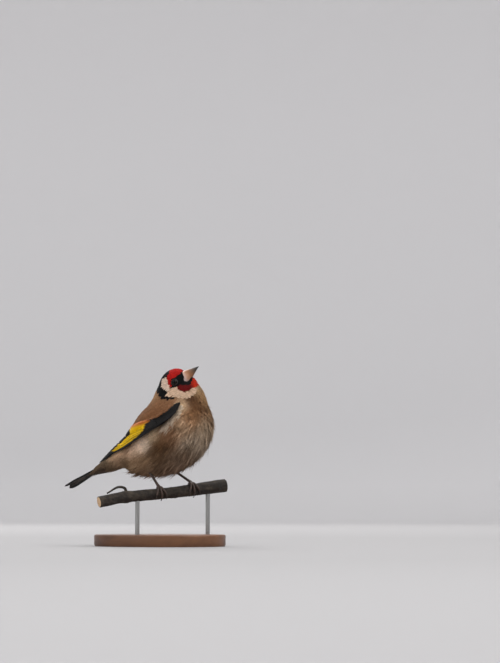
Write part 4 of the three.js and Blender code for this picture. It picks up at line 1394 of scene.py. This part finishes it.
def perch_piece():
    def bark(angle, share):
        around = np.stack([np.cos(angle) * 2.2, np.sin(angle) * 2.2, share * 9], 1)
        ridges = rough(around, 1.4, 4)
        knobs = np.zeros(len(angle))
        for at, turn, size in KNOBS:
            behind = (np.cos(angle - turn) < 0) * 9
            off = np.hypot((share - at) * PERCH_SPAN, behind + np.sin(angle - turn) * PERCH_RADIUS)
            knobs += 0.7 * size * np.exp(-((off / size) ** 2))
        grain = rough(around * [1, 1, 5], 3.2, 3)
        return perch_radius(share) + 0.26 * ridges + 0.16 * grain + knobs

    bm = tube(PERCH_LINE, bark, 72, 220)
    caps = [f for f in bm.faces if len(f.verts) > 12]
    bmesh.ops.inset_individual(bm, faces=caps, thickness=0.35, depth=0.12)
    for face in caps:
        face.material_index = 1

    def twig(angle, share):
        return mix(1.1, 0.5, share) * (1 + 0.1 * np.cos(5 * angle) * np.sin(30 * share))

    arch = PERCH(COLLAR) + np.array(TWIG)
    whole = joined([bm, tube(arch, twig, 18, 48, (0.7, -0.7, 0.1))])
    made = placed("perch_bark", whole, BARK, ["perch"])
    made.data.materials.append(CUT_WOOD)


# Legs and feet
# Each foot: which way along the perch its inner side is, its share of the way along it, and its heel
FEET = {
    "right": (1, 0.47, np.array([-5.9, -8.5, 52.8])),
    "left": (-1, 0.73, np.array([7.1, 8, 51.8])),
}
GAP = 0.3
HUB_RADIUS = 1.15
TOE_RADIUS = 0.85
TARSUS_RADIUS = 0.84
TARSUS_SUNK = 2.4  # how far its top goes into the body
# The claw's hook: its share of the way, its height off the bark, and how far aside against the toe's
HOOK = [(0, 0.62, 1), (0.3, 1.0, 1.04), (0.65, 1.15, 1.07), (1, 0.5, 1.1)]
# Each toe: which way over the perch, how far round it ends, how far aside, and the degrees of its claw
TOES = [(-1, 92, 0.6, 58), (1, 104, 3.6, 44), (1, 126, 0.2, 46), (1, 102, -3.8, 44)]


def over_perch(share, inner, degrees, height, aside):
    """A point over the perch: degrees round from the top to the front, height off the bark, way aside."""
    along = unit(PERCH(share + 0.005) - PERCH(share - 0.005))
    top = unit(np.array([0, 0, 1]) - along * along[2])
    front = np.cross(along, top)
    reach = perch_radius(share) + height
    angle = math.radians(degrees)
    return PERCH(share) + along * aside * inner + reach * (top * math.cos(angle) + front * math.sin(angle))


def scutes(angle, t):
    """The tarsus's radius: nine plates down its front, and thicker ends."""
    front = np.clip(np.cos(angle), 0, 1)
    return TARSUS_RADIUS * (1 + 0.3 * (2 * t - 1) ** 4) * (1 + 0.14 * front * (1 - (t * 9) % 1))


def pads(angle, t):
    """A toe's radius: plates on its top, and pads below."""
    ring = (t * 13) % 1
    under, top = np.clip(-np.cos(angle), 0, 1), np.clip(np.cos(angle), 0, 1)
    swell = 1 - 0.24 * t + 0.1 * np.cos(6 * math.pi * t) * (0.6 + under)
    tip = np.sqrt(np.clip((1.001 - t) / 0.06, 0, 1))
    return TOE_RADIUS * swell * (1 + 0.13 * top * (1 - ring)) * tip


def nail(angle, t):
    return mix(0.5, 0.05, t**0.8) * (1 + 0.12 * np.cos(2 * angle))


def foot_pieces():
    for name, (inner, share, heel) in FEET.items():
        hub = over_perch(share, inner, 0, GAP + HUB_RADIUS, 0)
        _, out, _ = nearest(form_tree, heel[None])
        leg = tube([hub, mix(hub, heel, 0.5), heel, heel - TARSUS_SUNK * out[0]], scutes, 20, 96, (1, 0, 0.4))
        placed(f"tarsus_{name}", leg, LEG, [f"leg_{name}"])
        parts = [ball(hub, HUB_RADIUS, 20, 14)]
        for number, (way, end, aside, claw) in enumerate(TOES, 1):
            path = [hub]
            for part in (0.25, 0.5, 0.75, 1):
                height = GAP + TOE_RADIUS - 0.1 * part
                path.append(over_perch(share, inner, way * end * part, height, aside * part))
            outward = tuple(unit(path[2] - PERCH(share)))
            parts.append(tube(path, pads, 18, 104, outward))
            hook = [
                over_perch(share, inner, way * (end + 1 + claw * part), GAP + height, aside * out)
                for part, height, out in HOOK
            ]
            curve = tube(hook, nail, 14, 24, outward)
            placed(f"nail_{name}_{number}", curve, CLAW, [f"claw_{name}_{number}"])
        placed(f"toes_{name}", joined(parts), LEG, [f"foot_{name}"])


# Stand
BASE = {"long": 92, "deep": 66, "thick": 8, "round": 1.2}
ROD_RADIUS = 1.5


def stand_pieces():
    half, thick, edge = BASE["long"] / 2, BASE["thick"], BASE["round"]
    profile = [(0, 0), (half - edge / 2, 0), (half, edge), (half, thick - edge)]
    profile += [(half - edge * (1 - math.cos(a)), thick - edge * (1 - math.sin(a))) for a in (0.4, 0.8, 1.2)]
    board = turned([*profile, (half - edge, thick), (0, thick)], 144)
    bmesh.ops.scale(board, vec=(1, BASE["deep"] / BASE["long"], 1), verts=board.verts)
    placed("stand_board", board, BOARD, ["stand_base"], 35)
    for name in ("back", "front"):
        low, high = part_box(f"stand_rod_{name}")
        x, y, _ = middle_of(f"stand_rod_{name}")
        ends = [(x, y, z) for z in np.linspace(low.z / MM, high.z / MM, 4)]
        rod = tube(ends, lambda angle, share: np.full(len(angle), ROD_RADIUS), 40, 12, (1, 0, 0))
        placed(f"rod_{name}", rod, STEEL, [f"stand_rod_{name}"], 35)


# Stage
VIEW_TURN = math.radians(20)
CAMERA_DISTANCE = 1500
CAMERA_HEIGHT = 29
BIRD_ACROSS = -13.6  # the bird's middle, along the picture's width from the origin
BIRD_HEIGHT = 81
AIM_ACROSS = 75.2  # the picture's middle, from the bird's
AIM_UP = 65.9
PICTURE_HEIGHT = 455.8  # at the bird


ACROSS = np.array([math.cos(VIEW_TURN), math.sin(VIEW_TURN), 0])
AHEAD = np.array([-ACROSS[1], ACROSS[0], 0])
BIRD = ACROSS * BIRD_ACROSS + [0, 0, BIRD_HEIGHT]  # what the lamps look at
FLOOR = 1900  # the studio's floor is flat this far
BEND = 1300  # then bends up
WALL = 3600  # into a wall this high
STUDIO_TONES = [
    (0.1, (157, 155, 155)), (0.45, (184, 182, 182)), (0.57, (206, 204, 204)), (0.8, (217, 215, 215)),
]
TONES_REACH = 4.0  # metres from the floor's middle to the end of these tones
# Each lamp: its place across, ahead and up, its size and its power
LAMPS = {
    "key": (700, -700, 1500, 1200, 19),
    "fill": (-1300, -900, 900, 1400, 6),
    "rim": (-300, 1100, 1300, 1200, 16),
}


def linked(name, data, place, target):
    """Puts a camera or a lamp at a place, looking at a target."""
    made = bpy.data.objects.new(name, data)
    made.location = Vector(place * MM)
    made.rotation_euler = Vector(target - place).to_track_quat("-Z", "Y").to_euler()
    bpy.context.scene.collection.objects.link(made)
    return made


def photo_camera():
    place = BIRD - AHEAD * CAMERA_DISTANCE
    place[2] = CAMERA_HEIGHT
    aim = BIRD + ACROSS * AIM_ACROSS + [0, 0, AIM_UP]
    data = bpy.data.cameras.new("camera")
    data.sensor_width = 36
    data.lens = data.sensor_width * float(np.linalg.norm(aim - place)) / PICTURE_HEIGHT
    bpy.context.scene.camera = linked("camera", data, place, aim)


def studio():
    """A round floor that bends up into a wall, darker near the stand, where the lamps are brightest."""
    profile = [(0, 0), (FLOOR, 0)]
    bend = np.linspace(0.1, math.pi / 2, 14)
    profile += [(FLOOR + BEND * math.sin(a), BEND * (1 - math.cos(a))) for a in bend]
    mesh = mesh_from("studio", turned([*profile, (FLOOR + BEND, WALL)], 96))
    material, tree, shader = new_material("studio")
    where = add(tree, "ShaderNodeTexCoord").outputs["Object"]
    away = add(tree, "ShaderNodeVectorMath", {"operation": "LENGTH"}, {0: where}).outputs["Value"]
    away = add(tree, "ShaderNodeMapRange", inputs={"Value": away, "From Max": TONES_REACH}).outputs["Result"]
    set_finish(tree, shader, stops(tree, away, *STUDIO_TONES), Roughness=0.9)
    mesh.materials.append(material)
    mesh.shade_smooth()
    made = bpy.data.objects.new("studio", mesh)
    bpy.context.scene.collection.objects.link(made)


def lights():
    world = bpy.data.worlds.new("sky")
    world.use_nodes = True
    sky = world.node_tree.nodes["Background"].inputs
    sky["Color"].default_value = (0.95, 0.97, 1.0, 1)
    sky["Strength"].default_value = 1.12
    bpy.context.scene.world = world
    for name, (across, ahead, up, size, power) in LAMPS.items():
        data = bpy.data.lights.new(name, "AREA")
        data.size = size * MM
        data.energy = power
        linked(name, data, ACROSS * across + AHEAD * ahead + [0, 0, up], BIRD)
    bpy.context.scene.view_settings.view_transform = "Standard"


photo_camera()
studio()
lights()
unwrapped(form)
skin_piece()
coat_pieces()
wing_pieces()
tail_piece()
bill_pieces()
eye_pieces()
perch_piece()
foot_pieces()
stand_pieces()
